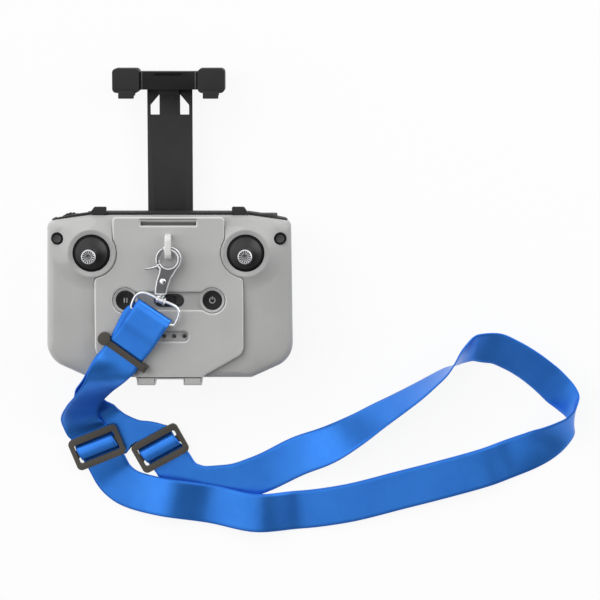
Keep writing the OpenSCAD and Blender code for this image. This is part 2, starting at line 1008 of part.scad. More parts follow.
// Webbing through one slider: plan position, angle, skew of the run and lift of the slider.
function over_bar(b, sign) = [for (k = [-10.5, -8.6, -5.6, -3.2, 0, 3.2, 5.6, 8.6, 10.5])
    let (d = sign * k, h = abs(k) > 8 ? 0.8 : abs(k) > 5 ? 1 : abs(k) > 1 ? 4.1 : 4.7, e = d * tan(b[3]))
        [b[0] + d * sin(b[2]) + e * cos(b[2]), b[1] - d * cos(b[2]) + e * sin(b[2]), h + b[4],
         b[2], sign > 0 ? 0 : -180]];

function width_dir(s) = [cos(s[3]) * cos(s[4]), sin(s[3]) * cos(s[4]), sin(s[4])];

module ribbon(s, w, t) {
    n = len(s);
    at = [for (p = s) [p[0], p[1], p[2]]];
    pts = [for (i = [0:n - 1])
        let (d = at[min(i + 1, n - 1)] - at[max(i - 1, 0)],
             e = width_dir(s[i]),
             up = cross(d, e) / norm(cross(d, e)))
            each [at[i] - e * w / 2 - up * t / 2, at[i] + e * w / 2 - up * t / 2,
                  at[i] + e * w / 2 + up * t / 2, at[i] - e * w / 2 + up * t / 2]];
    sides = [for (i = [0:n - 2], k = [0:3])
        let (m = (k + 1) % 4)
            each [[i * 4 + k, i * 4 + m, i * 4 + 4 + k], [i * 4 + m, i * 4 + 4 + m, i * 4 + 4 + k]]];
    ends = [[2, 1, 0], [3, 2, 0],
        [n * 4 - 4, n * 4 - 3, n * 4 - 2], [n * 4 - 4, n * 4 - 2, n * 4 - 1]];
    polyhedron(points = pts, faces = concat(sides, ends));
}

function strap_stations() = concat(
    drop_back, over_bar(buckle_2, 1), far_run, over_bar(buckle_1, -1), rise_front);

// Webbing from the keeper through both sliders, round the wearer's neck and back.
module neck_strap() {
    color([0.08, 0.30, 0.78])
    ribbon(strap_stations(), strap_w, strap_t);
}

// Folded end: up the front from the keeper, round the bar and back down, fanned out a little.
function tab_stations() = let (u = [sin(fold_a), -cos(fold_a)], far = keeper_c + [1.2, 1.6],
    turn_c = fold_c + u * (fold_r + strap_t / 2), turn_z = hook_z - 0.1)
    concat(
        [
            [far[0], far[1], 42, keeper_a, 0],
            [fold_c[0] + u[0] * 15, fold_c[1] + u[1] * 15, 45, fold_a, 0],
            [fold_c[0] + u[0] * 6, fold_c[1] + u[1] * 6, turn_z + fold_r, fold_a, 0]
        ],
        [for (t = [90:-30:-90])
            let (c = turn_c - u * fold_r * cos(t))
                [c[0], c[1], turn_z + fold_r * sin(t), fold_a + (t < 0 ? 1 : 0), 0]],
        [
            [-13.4, -9.6, 39.7, -30, 0],
            [-21, -22, 39.7, -30, 0],
            [far[0], far[1], 39.9, keeper_a, 0]
        ]
    );

// Short doubled end of the webbing, folded round the bar of the D-ring.
module strap_tab() {
    color([0.08, 0.30, 0.78])
    ribbon(tab_stations(), strap_w - 0.6, strap_t);
}

// Clip that grips both layers of webbing.
module strap_keeper() {
    color([0.07, 0.065, 0.06])
    translate([keeper_c[0], keeper_c[1], 0])
        rotate([0, 0, keeper_a])
            difference() {
                union() {
                    translate([-15.5, -1.9, 38.5])
                        cube([31, 3.8, 5.4]);
                    translate([-15.2, 0.6, 38.5])
                        cylinder(r = 3.9, h = 5.8);
                    translate([14, -2.5, 38.5])
                        cube([3.4, 5, 4.6]);
                }
                translate([-13, -8, 39.1])
                    cube([26, 16, 3.8]);
            }
}

// Length slider: a rounded frame with a middle bar that the webbing passes over.
module slider_frame(b) {
    color([0.09, 0.08, 0.07])
    translate([b[0], b[1], buckle_z + b[4]])
        rotate([0, 0, b[2]])
            difference() {
                soft_block(33, buckle_h, 3.2, 0, buckle_t);
                for (s = [-1, 1])
                    translate([0, s * 4.2, 0])
                        soft_block(27.2, 4, 1.2, -1, 6);
                translate([-13.6, -3, 1.7])
                    cube([27.2, 6, 4]);
            }
}

front_shell();
rear_shell();
shoulder_trims();
phone_rest();
strap_bracket();
bracket_eyelet();
case_screws();
status_lamps();
usb_socket();
main_board();
side_boards();
battery_pack();
gimbal_frame(-1);  // left_gimbal_frame
gimbal_frame(1);  // right_gimbal_frame
gimbal_yoke(-1);  // left_gimbal_yoke
gimbal_yoke(1);  // right_gimbal_yoke
stick(-1);  // left_stick
stick(1);  // right_stick
stick_tip(-1);  // left_stick_tip
stick_tip(1);  // right_stick_tip
small_button(-1);  // custom_button
small_button(1);  // camera_button
face_button(-1);  // pause_button
face_button(1);  // power_button
mode_track();
mode_slider();
thumb_dial();
dial_axle();
shutter_button();
clamp_guide();
clamp_stem();
clamp_head();
clamp_pads();
clamp_lips();
antenna_strips();
snap_hook();
hook_trigger();
trigger_rivet();
hook_swivel();
d_ring();
strap_tab();
neck_strap();
strap_keeper();
slider_frame(buckle_1);  // left_slider
slider_frame(buckle_2);  // right_slider
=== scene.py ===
# %% [markdown]
# # A handheld radio transmitter with a sliding clamp and a neck strap
# The CAD model already gives every piece its size, its place and its motion.
# This lesson dresses that frame: rounded plastic skins, cast metal, satin webbing and their finishes.
# Lengths are written in millimetres and turned into metres where a mesh is made.

# %% Load the fixed frame
import math

import bmesh
import bpy
import numpy as np
from mathutils import Matrix, Vector


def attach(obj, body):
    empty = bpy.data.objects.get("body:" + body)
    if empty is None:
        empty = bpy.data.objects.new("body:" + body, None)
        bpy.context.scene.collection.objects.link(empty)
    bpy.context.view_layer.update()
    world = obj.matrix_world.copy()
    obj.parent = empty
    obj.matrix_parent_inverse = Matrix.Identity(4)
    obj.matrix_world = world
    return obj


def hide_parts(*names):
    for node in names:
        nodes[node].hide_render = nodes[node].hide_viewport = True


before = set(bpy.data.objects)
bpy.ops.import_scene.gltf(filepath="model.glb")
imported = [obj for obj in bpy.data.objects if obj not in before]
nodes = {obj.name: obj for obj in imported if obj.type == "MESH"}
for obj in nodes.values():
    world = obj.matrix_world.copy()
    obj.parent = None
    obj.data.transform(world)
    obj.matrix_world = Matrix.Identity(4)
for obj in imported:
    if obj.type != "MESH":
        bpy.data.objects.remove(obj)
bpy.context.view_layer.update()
MM = 0.001

# %% [markdown]
# ## Sizes from the frame
# A skin must fit its solid, so the sizes that several pieces share are read from the solids themselves.
# They could be typed in again, but a solid that changes would then part from its skin.
# The first function gives a solid's two corners, and the middles and heights follow from them.


# %% Shared sizes in millimetres
def reach(node):
    """Lowest and highest corner of a solid, in mm."""
    p = np.array([v.co[:] for v in nodes[node].data.vertices]) / MM
    return p.min(0).round(2), p.max(0).round(2)


def centre_of(node):
    low, high = reach(node)
    return (low + high) / 2


def radius_of(node):
    low, high = reach(node)
    return (high[0] - low[0]) / 2


STICK_X, STICK_Y, PIVOT_Z = centre_of("right_gimbal_yoke")
DOME_R = 17.8
OPENING_R = DOME_R + 0.45
(_, LOW_Y, SPLIT_Z), (EDGE_X, TOP_Y, RIM_Z) = [c.round(1) for c in reach("front_shell")]
PLATE_T = WALL = 2.2
PLATE_Z = reach("bracket_eyelet")[0][2].round(1)
FACE_Z = PLATE_Z - PLATE_T
BUTTON_X, BUTTON_Y = centre_of("power_button")[:2]
BUTTON_R = radius_of("power_button")
SMALL_X, SMALL_Y = centre_of("camera_button")[:2]
SMALL_R = radius_of("camera_button")
LAMP_X, LAMP_Y = (-9.3, -3.1, 3.1, 9.3), centre_of("status_lamps")[1]
HOOK_Z = centre_of("snap_hook")[2]
HANDS = ((-1, "left"), (1, "right"))
print("stick", STICK_X, STICK_Y, PIVOT_Z, "face", FACE_Z, "rim", RIM_Z, "hook", HOOK_Z)

# %% [markdown]
# ## Camera
# The controller lies on its back, and the photograph looks almost straight down on it.
# A long lens keeps the outline free of perspective, so the camera is far away and leans
# only a few degrees towards the clamp.
# Its place and tilt are given, because a tracking target would spin a camera that looks down.

# %% Camera above the table
CAMERA_AT = (0.081, 0.1893, 1.4736)
CAMERA_TILT = -7.5
LENS = 140.7
scene = bpy.context.scene
scene.view_settings.view_transform = "Standard"
camera = bpy.data.objects.new("camera", bpy.data.cameras.new("camera"))
scene.collection.objects.link(camera)
camera.data.lens = LENS
camera.data.clip_end = 20
camera.location = CAMERA_AT
camera.rotation_euler = (math.radians(CAMERA_TILT), 0, 0)
scene.camera = camera
print("camera at", [round(v, 3) for v in camera.location])

# %% [markdown]
# ## Shader arithmetic
# A finish is mostly arithmetic: a mask times a colour, a roughness plus some grain.
# Placing Math nodes by hand hides that, so a small class wraps a socket and Python's own
# operators add the nodes.
# Colours go through Mix nodes, because a Math node would turn them grey.


# %% A shader value that understands operators
class Flow:
    def __init__(self, finish, socket):
        self.finish = finish
        self.socket = socket

    def calc(self, operation, *values):
        return self.finish.node("ShaderNodeMath", {"operation": operation}, dict(enumerate(values)))

    def __add__(self, other):
        return self.calc("ADD", self, other)

    def __radd__(self, other):
        return self.calc("ADD", other, self)

    def __sub__(self, other):
        return self.calc("SUBTRACT", self, other)

    def __rsub__(self, other):
        return self.calc("SUBTRACT", other, self)

    def __mul__(self, other):
        return self.calc("MULTIPLY", self, other)

    def __rmul__(self, other):
        return self.calc("MULTIPLY", other, self)

    def __pow__(self, other):
        return self.calc("POWER", self, other)

    def __gt__(self, other):
        return self.calc("GREATER_THAN", self, other)

    def __lt__(self, other):
        return self.calc("LESS_THAN", self, other)

    def __abs__(self):
        return self.calc("ABSOLUTE", self)

    def sine(self):
        return self.calc("SINE", self)

    def ramp(self, low, high, to_low=0.0, to_high=1.0):
        return self.finish.node(
            "ShaderNodeMapRange",
            {"interpolation_type": "SMOOTHSTEP"},
            {0: self, 1: low, 2: high, 3: to_low, 4: to_high},
        )

    def within(self, half, soft=0.00008):
        """One where the value lies within half of zero, fading to nothing over a soft edge."""
        return abs(self).ramp(half, half + soft, 1.0, 0.0)


print("operators ready:", sum(1 for k in vars(Flow) if k.startswith("__")))


# %% [markdown]
# ## A finish
# Each finish is one Principled shader with a few feeds.
# The nodes could be wired in the editor, but a builder keeps a finish down to the lines that differ.
# Texture positions are the object's own coordinates in metres, so a noise of scale 2500
# has grains of 0.4 mm on every piece, and the grain moves with the piece.


# %% The finish builder
TURN = 2 * math.pi


def tone(r, g, b):
    """A colour picked as 0 to 255 screen values, as the linear colour a shader needs."""
    def line(v):
        v = v / 255
        return v / 12.92 if v <= 0.04045 else ((v + 0.055) / 1.055) ** 2.4
    return (line(r), line(g), line(b), 1.0)


class Finish:
    def __init__(self, name, **constants):
        self.material = bpy.data.materials.new(name)
        self.material.use_nodes = True
        self.tree = self.material.node_tree
        self.shader = self.tree.nodes["Principled BSDF"]
        self.feed(**constants)

    def connect(self, socket, value):
        if isinstance(value, Flow):
            self.tree.links.new(value.socket, socket)
        else:
            socket.default_value = value

    def node(self, kind, settings=None, inputs=None, out=0):
        made = self.tree.nodes.new(kind)
        for key, value in (settings or {}).items():
            setattr(made, key, value)
        for key, value in (inputs or {}).items():
            self.connect(made.inputs[key], value)
        return Flow(self, made.outputs[out])

    def feed(self, **sockets):
        for key, value in sockets.items():
            self.connect(self.shader.inputs[key.replace("_", " ")], value)

    def spot(self):
        return self.node("ShaderNodeTexCoord", out=3)

    def axes(self, where=None):
        """The three shares of a place, or of the piece's own coordinates."""
        where = where or self.spot()
        return [self.node("ShaderNodeSeparateXYZ", {}, {0: where}, axis) for axis in "XYZ"]

    def noise(self, scale, detail=2.0, rough=0.5, where=None):
        return self.node(
            "ShaderNodeTexNoise",
            {"noise_dimensions": "3D"},
            {"Vector": where or self.spot(), "Scale": scale, "Detail": detail, "Roughness": rough},
        )

    def stretched(self, x, y, z):
        return self.node(
            "ShaderNodeVectorMath", {"operation": "MULTIPLY"}, {0: self.spot(), 1: (x, y, z)}
        )

    def mix(self, amount, a, b):
        return self.node("ShaderNodeMix", {"data_type": "RGBA"}, {0: amount, 6: a, 7: b}, out=2)

    def bump(self, height, depth_mm, strength=1.0):
        made = self.node(
            "ShaderNodeBump", {}, {"Strength": strength, "Distance": depth_mm * MM, "Height": height}
        )
        self.feed(Normal=made)


print("finish builder ready; mid grey is", round(tone(128, 128, 128)[0], 3))

# %% [markdown]
# ## Moulded plastics
# The shells and the plate come out of spark-eroded moulds, so their skin is a field of tiny pits
# that scatters the light.
# A picture of such a skin would need every piece unwrapped, and noise needs nothing.
# Two noises do it: a fine one for the pits, and a wide faint one for the handling
# that leaves no large plastic face perfectly even.


# %% Grey and black mouldings
def moulding(name, light, dark, grain=2600, pits=0.02, rough=0.46, spread=0.12, **constants):
    kit = Finish(name, **constants)
    pit = kit.noise(grain, 2.0, 0.6)
    cloud = kit.noise(24, 4.0, 0.55)
    speck = (pit - 0.5) * 0.35 + cloud.ramp(0.3, 0.72)
    kit.feed(Base_Color=kit.mix(speck, light, dark))
    kit.feed(Roughness=rough + spread * (cloud - 0.5) + 0.1 * (pit - 0.5))
    kit.bump(pit, pits, 0.7)
    return kit.material


shell_grey = moulding("shell_grey", tone(174, 174, 173), tone(167, 167, 166), pits=0.03)
bracket_grey = moulding("bracket_grey", tone(184, 184, 183), tone(177, 177, 176), 3200, 0.02, 0.4)
eyelet_pale = moulding("eyelet_pale", tone(218, 218, 216), tone(210, 210, 208), 1800, 0.01, 0.3, 0.06)
black_plastic = moulding(
    "black_plastic", tone(36, 36, 37), tone(29, 29, 30), 2200, 0.03, 0.5, 0.14, Specular_IOR_Level=0.3
)
bar_black = moulding(
    "bar_black", tone(23, 23, 24), tone(18, 18, 19), 2200, 0.03, 0.5, 0.14, Specular_IOR_Level=0.15
)
# Painted highlight: a pale grey for the clamp bar's end grooves.
groove_painted_highlight = moulding("groove_painted_highlight", tone(92, 92, 92), tone(80, 80, 80), 2200, 0.03, 0.5, 0.1)
# Painted shade: a darker grey for the floor of the slot near the upper edge.
slot_painted_shade = moulding("slot_painted_shade", tone(104, 104, 103), tone(92, 92, 91), 1900, 0.03, 0.5, 0.1)
# Painted highlight: a pale grey for the bracket plate's rounded rim.
rim_painted_highlight = moulding("rim_painted_highlight", tone(214, 214, 212), tone(206, 206, 204), 1900, 0.02, 0.36, 0.1)
slider_brown = moulding("slider_brown", tone(64, 60, 54), tone(54, 51, 46), 1900, 0.03, 0.45, 0.14)
dark_grey = moulding("dark_grey", tone(50, 50, 51), tone(42, 42, 43), 2600, 0.015, 0.4, 0.1)
print("mouldings:", [m.name for m in (shell_grey, bracket_grey, black_plastic)])

# %% [markdown]
# Rubber is duller than hard plastic and picks up dust, so its grain is coarser and a thin
# pale film lies in the noise's high spots.
# The stick domes and the track of the switch are the opposite: black, smooth and slightly oily.
# One function with a roughness and a shine covers them all, down to a dull black that paints the shade of
# deep gaps.


# %% Rubber and glossy black
def rubber(name):
    kit = Finish(name, Specular_IOR_Level=0.35)
    pit = kit.noise(1500, 3.0, 0.6)
    dust = kit.noise(90, 5.0, 0.6).ramp(0.5, 0.8)
    kit.feed(Base_Color=kit.mix(dust * 0.5, tone(30, 30, 30), tone(43, 42, 41)))
    kit.feed(Roughness=0.66 + 0.12 * dust)
    kit.bump(pit, 0.05, 0.8)
    return kit.material


def polished_black(name, rough, shine=0.55):
    kit = Finish(name, Specular_IOR_Level=shine)
    smear = kit.noise(130, 4.0, 0.6)
    fine = kit.noise(3200, 1.0)
    kit.feed(Base_Color=kit.mix(smear.ramp(0.4, 0.75), tone(24, 24, 25), tone(31, 31, 32)))
    kit.feed(Roughness=rough + 0.1 * (smear - 0.5))
    kit.bump(fine, 0.004, 0.5)
    return kit.material


black_rubber = rubber("black_rubber")
gloss_black = polished_black("gloss_black", 0.4)
dome_black = polished_black("dome_black", 0.36, 0.4)
# Painted shade: a dull black for the faces of gaps and slot floors where shade falls.
painted_gap_shade = polished_black("painted_gap_shade", 0.6, 0.05)
print("rubber and gloss:", black_rubber.name, gloss_black.name)

# %% [markdown]
# ## Metals
# The hook and ring are plated castings: almost a mirror, with hairline scratches that only
# change the roughness.
# The stick ends are turned aluminium, so their fine lines run in circles about each stick.
# The lines are a sine of the distance from the axis, which is plainer than a stretched highlight.
# Both sticks share one finish, because the distance is taken from the mirrored place of x.


# %% Chrome, turned aluminium and steel
def plated(name, colour, rough, scratch):
    kit = Finish(name, Metallic=1.0)
    hair = kit.noise(60, 3.0, 0.6, kit.stretched(40, 3, 8)).ramp(0.5, 0.72)
    haze = kit.noise(260, 3.0)
    kit.feed(Base_Color=kit.mix(haze.ramp(0.45, 0.8), colour, [c * 0.86 for c in colour[:3]] + [1]))
    kit.feed(Roughness=rough + scratch * hair + 0.05 * haze)
    kit.bump(haze, 0.006, 0.4)
    return kit.material


def turned(name, stick_x, stick_y, pitch=0.00022):
    kit = Finish(name, Metallic=1.0)
    x, y = kit.axes()[:2]
    far = ((abs(x) - stick_x) ** 2.0 + (y - stick_y) ** 2.0) ** 0.5
    line = (far * (TURN / pitch)).sine()
    kit.feed(Base_Color=kit.mix(line * 0.5 + 0.5, tone(236, 236, 238), tone(208, 208, 211)))
    kit.feed(Roughness=0.42 + 0.08 * line)
    kit.bump(line, 0.008, 0.5)
    return kit.material


chrome = plated("chrome", tone(236, 237, 240), 0.06, 0.1)
cast_grey = plated("cast_grey", tone(112, 112, 114), 0.42, 0.12)
steel = plated("steel", tone(150, 150, 152), 0.3, 0.15)
copper_strip = plated("copper_strip", tone(214, 160, 96), 0.28, 0.15)
aluminium = turned("aluminium", STICK_X * MM, STICK_Y * MM)
print("metals:", [m.name for m in (chrome, cast_grey, steel, copper_strip, aluminium)])

# %% [markdown]
# ## Webbing
# The strap is a woven satin ribbon: long warp threads run lengthwise and give it a silky face,
# weft threads cross them, and a tighter selvedge closes both edges.
# Its threads mirror the room like dark metal does, so most of the shine is metallic: that gives the
# ribbon's bright and dark bands where it rises and falls.
# A ribbon mesh carries its own flat coordinates in metres, across and along, so the threads
# follow every bend of the strap.


# %% Blue satin weave
def satin(name, warp_pitch=0.0011, weft_pitch=0.0008, rib_pitch=0.0016, selvedge=(0.0108, 0.0119)):
    kit = Finish(name, Metallic=0.8)
    across, along = kit.axes(kit.node("ShaderNodeUVMap", {"uv_map": "weave"}))[:2]
    warp = (across * (TURN / warp_pitch)).sine()
    weft = (along * (TURN / weft_pitch) + 3.1 * (warp > 0)).sine()
    edge = abs(across).ramp(*selvedge)
    cord_rib = (along * (TURN / rib_pitch)).sine() * edge
    cloud = kit.noise(60, 4.0, 0.6)
    thread = weft * 0.3 + warp * 0.2
    deep = kit.mix(cloud.ramp(0.3, 0.75), tone(56, 132, 228), tone(50, 124, 220))
    face = kit.mix(thread * 0.22 + 0.11, deep, tone(35, 104, 198))
    kit.feed(Base_Color=kit.mix(edge * 0.45, face, tone(29, 94, 186)))
    kit.feed(Roughness=0.34 + 0.07 * thread + 0.14 * edge)
    kit.bump(weft * 0.5 + warp * 0.3 + cord_rib, 0.035, 0.35)
    return kit.material


webbing_blue = satin("webbing_blue")
print("webbing:", webbing_blue.name)

# %% [markdown]
# ## Things behind the skin
# The boards, the cell and the light pipes show only through the openings or when the part is
# taken apart, but they get their own finishes too.
# A board is solder mask over copper tracks: a brick pattern stands in for the tracks' long runs.


# %% Board, cell and light pipes
def circuit(name):
    kit = Finish(name, Specular_IOR_Level=0.5)
    track = kit.node(
        "ShaderNodeTexBrick",
        {"offset": 0.37, "squash": 1.6},
        {"Vector": kit.spot(), "Scale": 190.0, "Mortar Size": 0.05, "Mortar Smooth": 0.2},
        out=1,
    )
    via = kit.node("ShaderNodeTexVoronoi", {}, {"Vector": kit.spot(), "Scale": 330.0})
    ring = via < 0.16
    mask = kit.mix(track, tone(20, 92, 54), tone(34, 122, 74))
    kit.feed(Base_Color=kit.mix(ring, mask, tone(196, 170, 96)))
    kit.feed(Roughness=0.34 + 0.12 * kit.noise(400, 3.0), Metallic=ring * 0.8)
    kit.bump(track + ring, 0.03, 0.6)
    return kit.material


def wrap(name):
    kit = Finish(name)
    crease = kit.noise(70, 5.0, 0.7, kit.stretched(1, 3, 1))
    kit.feed(Base_Color=kit.mix(crease.ramp(0.35, 0.7), tone(44, 60, 92), tone(60, 78, 112)))
    kit.feed(Roughness=0.32 + 0.16 * crease)
    kit.bump(crease, 0.2, 0.6)
    return kit.material


board_green = circuit("board_green")
cell_wrap = wrap("cell_wrap")
clear_pipe = polished_black("clear_pipe", 0.16)
print("inside:", board_green.name, cell_wrap.name, clear_pipe.name)

# %% [markdown]
# ## Meshes from rings
# Nearly every piece here is a stack of rings: a lathe turns one profile, a plate stacks insets of
# its outline, a ribbon strings rings along a route.
# Blender's own primitives could be pushed into shape, but rings keep every size as it is written.
# Small functions return plain points and faces, so one object can be built from several of them.


# %% Turn parts into an object
def soften_edges(mesh, limit=38):
    """Smooth faces, with a crisp edge wherever two faces meet more steeply than the limit."""
    work = bmesh.new()
    work.from_mesh(mesh)
    for face in work.faces:
        face.smooth = True
    for edge in work.edges:
        if len(edge.link_faces) == 2:
            edge.smooth = edge.calc_face_angle(0) < math.radians(limit)
    work.to_mesh(mesh)
    work.free()


def make(name, *parts, limit=38):
    """One object from several (points in mm, faces) parts, with its normals turned outwards."""
    points, faces = [], []
    for pts, fcs in parts:
        start = len(points)
        points += [tuple(float(c) * MM for c in p) for p in pts]
        faces += [[start + i for i in f] for f in fcs]
    mesh = bpy.data.meshes.new(name)
    mesh.from_pydata(points, [], faces)
    work = bmesh.new()
    work.from_mesh(mesh)
    bmesh.ops.recalc_face_normals(work, faces=work.faces)
    work.to_mesh(mesh)
    work.free()
    soften_edges(mesh, limit)
    obj = bpy.data.objects.new(name, mesh)
    scene.collection.objects.link(obj)
    return obj


print("mesh helpers:", soften_edges.__name__, make.__name__)

# %% [markdown]
# A skin then gets its finish, rides on the body that carries it and takes the place of its solid.
# Some pieces show two finishes, such as a dark groove in a bright face.
# A mask in the shader could tell them apart, but a second material on whole faces stays sharp.


# %% Finish, body and place
def dress(obj, body, material, slot, *replaced):
    """Give a piece its finish and its body, and hide the plain solids that it stands for; slot is not used.
    """
    obj.data.materials.clear()
    obj.data.materials.append(material)
    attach(obj, body)
    if replaced:
        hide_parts(*replaced)
    print(f"{obj.name}: {len(obj.data.polygons)} faces on {body}")


def second_finish(obj, material, wanted):
    """Give another finish to the faces whose middle (in mm) and normal are wanted."""
    obj.data.materials.append(material)
    number = len(obj.data.materials) - 1
    for face in obj.data.polygons:
        if wanted(face.center / MM, face.normal):
            face.material_index = number


def upward(low, high):
    """A test for faces that look up and lie between two heights."""
    return lambda middle, normal: normal.z > 0.9 and low < middle.z < high


print("dressing helpers:", dress.__name__, second_finish.__name__)

# %% [markdown]
# A lathe is the potter's way: a list of radius and height pairs is turned about an axis.
# The Screw modifier does the same, but plain points can join those of other parts.
# Where the radius is zero the ring shrinks to one point, so the ends close by themselves.


# %% Lathe
def lathe(profile, centre=(0, 0, 0), steps=72, axis="Z"):
    """Points and faces of a profile of (radius, height) pairs turned about an axis."""
    pts, rows = [], []
    for r, z in profile:
        count = 1 if r < 1e-6 else steps
        rows.append(list(range(len(pts), len(pts) + count)))
        for k in range(count):
            a = TURN * k / steps
            p = (r * math.cos(a), r * math.sin(a), z)
            p = {"Z": p, "Y": (p[0], z, -p[1]), "X": (z, p[1], -p[0])}[axis]
            pts.append([p[i] + centre[i] for i in range(3)])
    faces = []
    for low, high in zip(rows, rows[1:]):
        for k in range(steps):
            m = (k + 1) % steps
            quad = [low[k % len(low)], low[m % len(low)], high[m % len(high)], high[k % len(high)]]
            clean = [v for i, v in enumerate(quad) if v not in quad[:i]]
            if len(clean) > 2:
                faces.append(clean)
    return pts, faces


def arc(centre, r, start, end, count):
    """Points on a circle from one angle to another, in degrees."""
    angles = [math.radians(start + (end - start) * k / count) for k in range(count + 1)]
    return [(centre[0] + r * math.cos(a), centre[1] + r * math.sin(a)) for a in angles]


print("a test ring has", len(lathe([(0, 0), (1, 0), (1, 1), (0, 1)])[0]), "points")

# %% [markdown]
# A moulded plate never has a sharp rim.
# A bevel could round it afterwards, but bevels tangle where rims and holes come close.
# So its outline is drawn once, and each ring of the stack is that outline moved inwards a little,
# so the rim rounds over exactly, also along holes.
# A last ring just inside the rounding keeps the flat face flat when it is shaded smoothly.


# %% Outlines with rounded corners
def rounded(corners, steps=7):
    """A closed outline from (x, y, radius) corners."""
    out = []
    n = len(corners)
    for i, (x, y, r) in enumerate(corners):
        if r <= 0:
            out.append((x, y))
            continue
        p = np.array([x, y], float)
        a = np.array(corners[i - 1][:2], float) - p
        b = np.array(corners[(i + 1) % n][:2], float) - p
        a /= np.linalg.norm(a)
        b /= np.linalg.norm(b)
        half = math.acos(max(-1, min(1, float(a @ b)))) / 2
        if half > math.pi / 2 - 0.01:
            out.append((x, y))
            continue
        middle = p + (a + b) / np.linalg.norm(a + b) * r / math.sin(half)
        first, last = p + a * r / math.tan(half) - middle, p + b * r / math.tan(half) - middle
        start = math.atan2(first[1], first[0])
        turn = (math.atan2(last[1], last[0]) - start + math.pi) % TURN - math.pi
        for k in range(steps + 1):
            t = start + turn * k / steps
            out.append((middle[0] + r * math.cos(t), middle[1] + r * math.sin(t)))
    return out


def slot_outline(w, h, r, x, y, steps=7):
    """A rectangle with rounded corners about a middle."""
    corners = ((-w, -h), (w, -h), (w, h), (-w, h))
    return rounded([(x + cx / 2, y + cy / 2, r) for cx, cy in corners], steps)


def facing(loop, left):
    """The loop with its area on the left (counter-clockwise) or on the right."""
    p = np.array(loop, float)
    q = np.roll(p, -1, 0)
    area = float((p[:, 0] * q[:, 1] - p[:, 1] * q[:, 0]).sum())
    return p if (area > 0) == left else p[::-1].copy()


def moved_in(loop, d):
    """The loop moved d to its left."""
    a = loop - np.roll(loop, 1, 0)
    b = np.roll(loop, -1, 0) - loop
    a /= np.linalg.norm(a, axis=1)[:, None]
    b /= np.linalg.norm(b, axis=1)[:, None]
    n = np.c_[-a[:, 1] - b[:, 1], a[:, 0] + b[:, 0]]
    n /= np.linalg.norm(n, axis=1)[:, None]
    room = np.clip((n * np.c_[-b[:, 1], b[:, 0]]).sum(1), 0.45, 1)
    return loop + n * (d / room)[:, None]


print("corner test:", len(slot_outline(10, 5, 1, 0, 0)), "points")

# %% [markdown]
# The plate is that stack: one ring for each step of the rounding, filled in at the top and the bottom.
# A raised border takes a few more rings that step down inside the rim.


# %% Plates with rounded rims
def plate(outer, holes, z0, z1, top=0.6, under=0.2, rim=None, steps=4):
    """Points and faces of a plate. rim = (width, depth) sinks the face inside a raised border."""
    loops = [facing(outer, True)] + [facing(h, False) for h in holes]
    stack = [(under + 0.3, z0)]
    stack += [(under * (1 - math.sin(t)), z0 + under * (1 - math.cos(t)))
              for t in np.linspace(0, math.pi / 2, steps)]
    stack += [(top * (1 - math.cos(t)), z1 - top * (1 - math.sin(t)))
              for t in np.linspace(0, math.pi / 2, steps + 1)]
    if rim:
        width, depth = rim
        stack += [(top + width, z1), (top + width + 0.18, z1 - depth * 0.85),
                  (top + width + 0.3, z1 - depth), (top + width + 0.5, z1 - depth)]
    else:
        stack += [(top + 0.3, z1)]
    work = bmesh.new()
    ends = {0: [], len(stack) - 1: []}
    for loop in loops:
        rings = [[work.verts.new((*p, z)) for p in moved_in(loop, d)] for d, z in stack]
        for low, high in zip(rings, rings[1:]):
            for k in range(len(low)):
                m = (k + 1) % len(low)
                work.faces.new((low[k], low[m], high[m], high[k]))
        for level in ends:
            ring = rings[level]
            ends[level] += [work.edges.get((ring[k], ring[(k + 1) % len(ring)])) for k in range(len(ring))]
    for edges in ends.values():
        bmesh.ops.triangle_fill(work, use_beauty=True, edges=edges)
    work.verts.index_update()
    pts = [tuple(v.co) for v in work.verts]
    faces = [[v.index for v in f.verts] for f in work.faces]
    work.free()
    return pts, faces


print("plate test:", len(plate([(0, 0), (9, 0), (9, 9), (0, 9)], [], 0, 2)[1]), "faces")

# %% [markdown]
# Wire and bars are sweeps: a small section is carried along a path.
# A curve with a bevel would do it too, but a sweep can also change its size along the way.
# At each point the section stands square to the path, with one axis kept upright,
# which is all that wire lying in a plane needs.


# %% Sweeps
def sweep(path, section, closed=False, scale=None):
    """Carry section (side, up) points along a path of (x, y, z) points."""
    p = np.array(path, float)
    n = len(p)
    ahead = np.roll(p, -1, 0) - np.roll(p, 1, 0)
    if not closed:
        ahead[0], ahead[-1] = p[1] - p[0], p[-1] - p[-2]
    ahead /= np.linalg.norm(ahead, axis=1)[:, None]
    side = np.cross(ahead, (0.0, 0.0, 1.0))
    side /= np.linalg.norm(side, axis=1)[:, None]
    up = np.cross(side, ahead)
    m = len(section)
    scale = scale if scale is not None else [1.0] * n
    pts = [p[i] + scale[i] * (s * side[i] + u * up[i]) for i in range(n) for s, u in section]
    faces = []
    for i in range(n if closed else n - 1):
        j = (i + 1) % n
        for k in range(m):
            q = (k + 1) % m
            faces.append([i * m + k, i * m + q, j * m + q, j * m + k])
    if not closed:
        faces += [list(range(m)), list(range((n - 1) * m, n * m))]
    return pts, faces


def circle_section(r, sides=16):
    """A round section, without the last point that repeats the first."""
    return arc((0, 0), r, 0, 360, sides)[:-1]


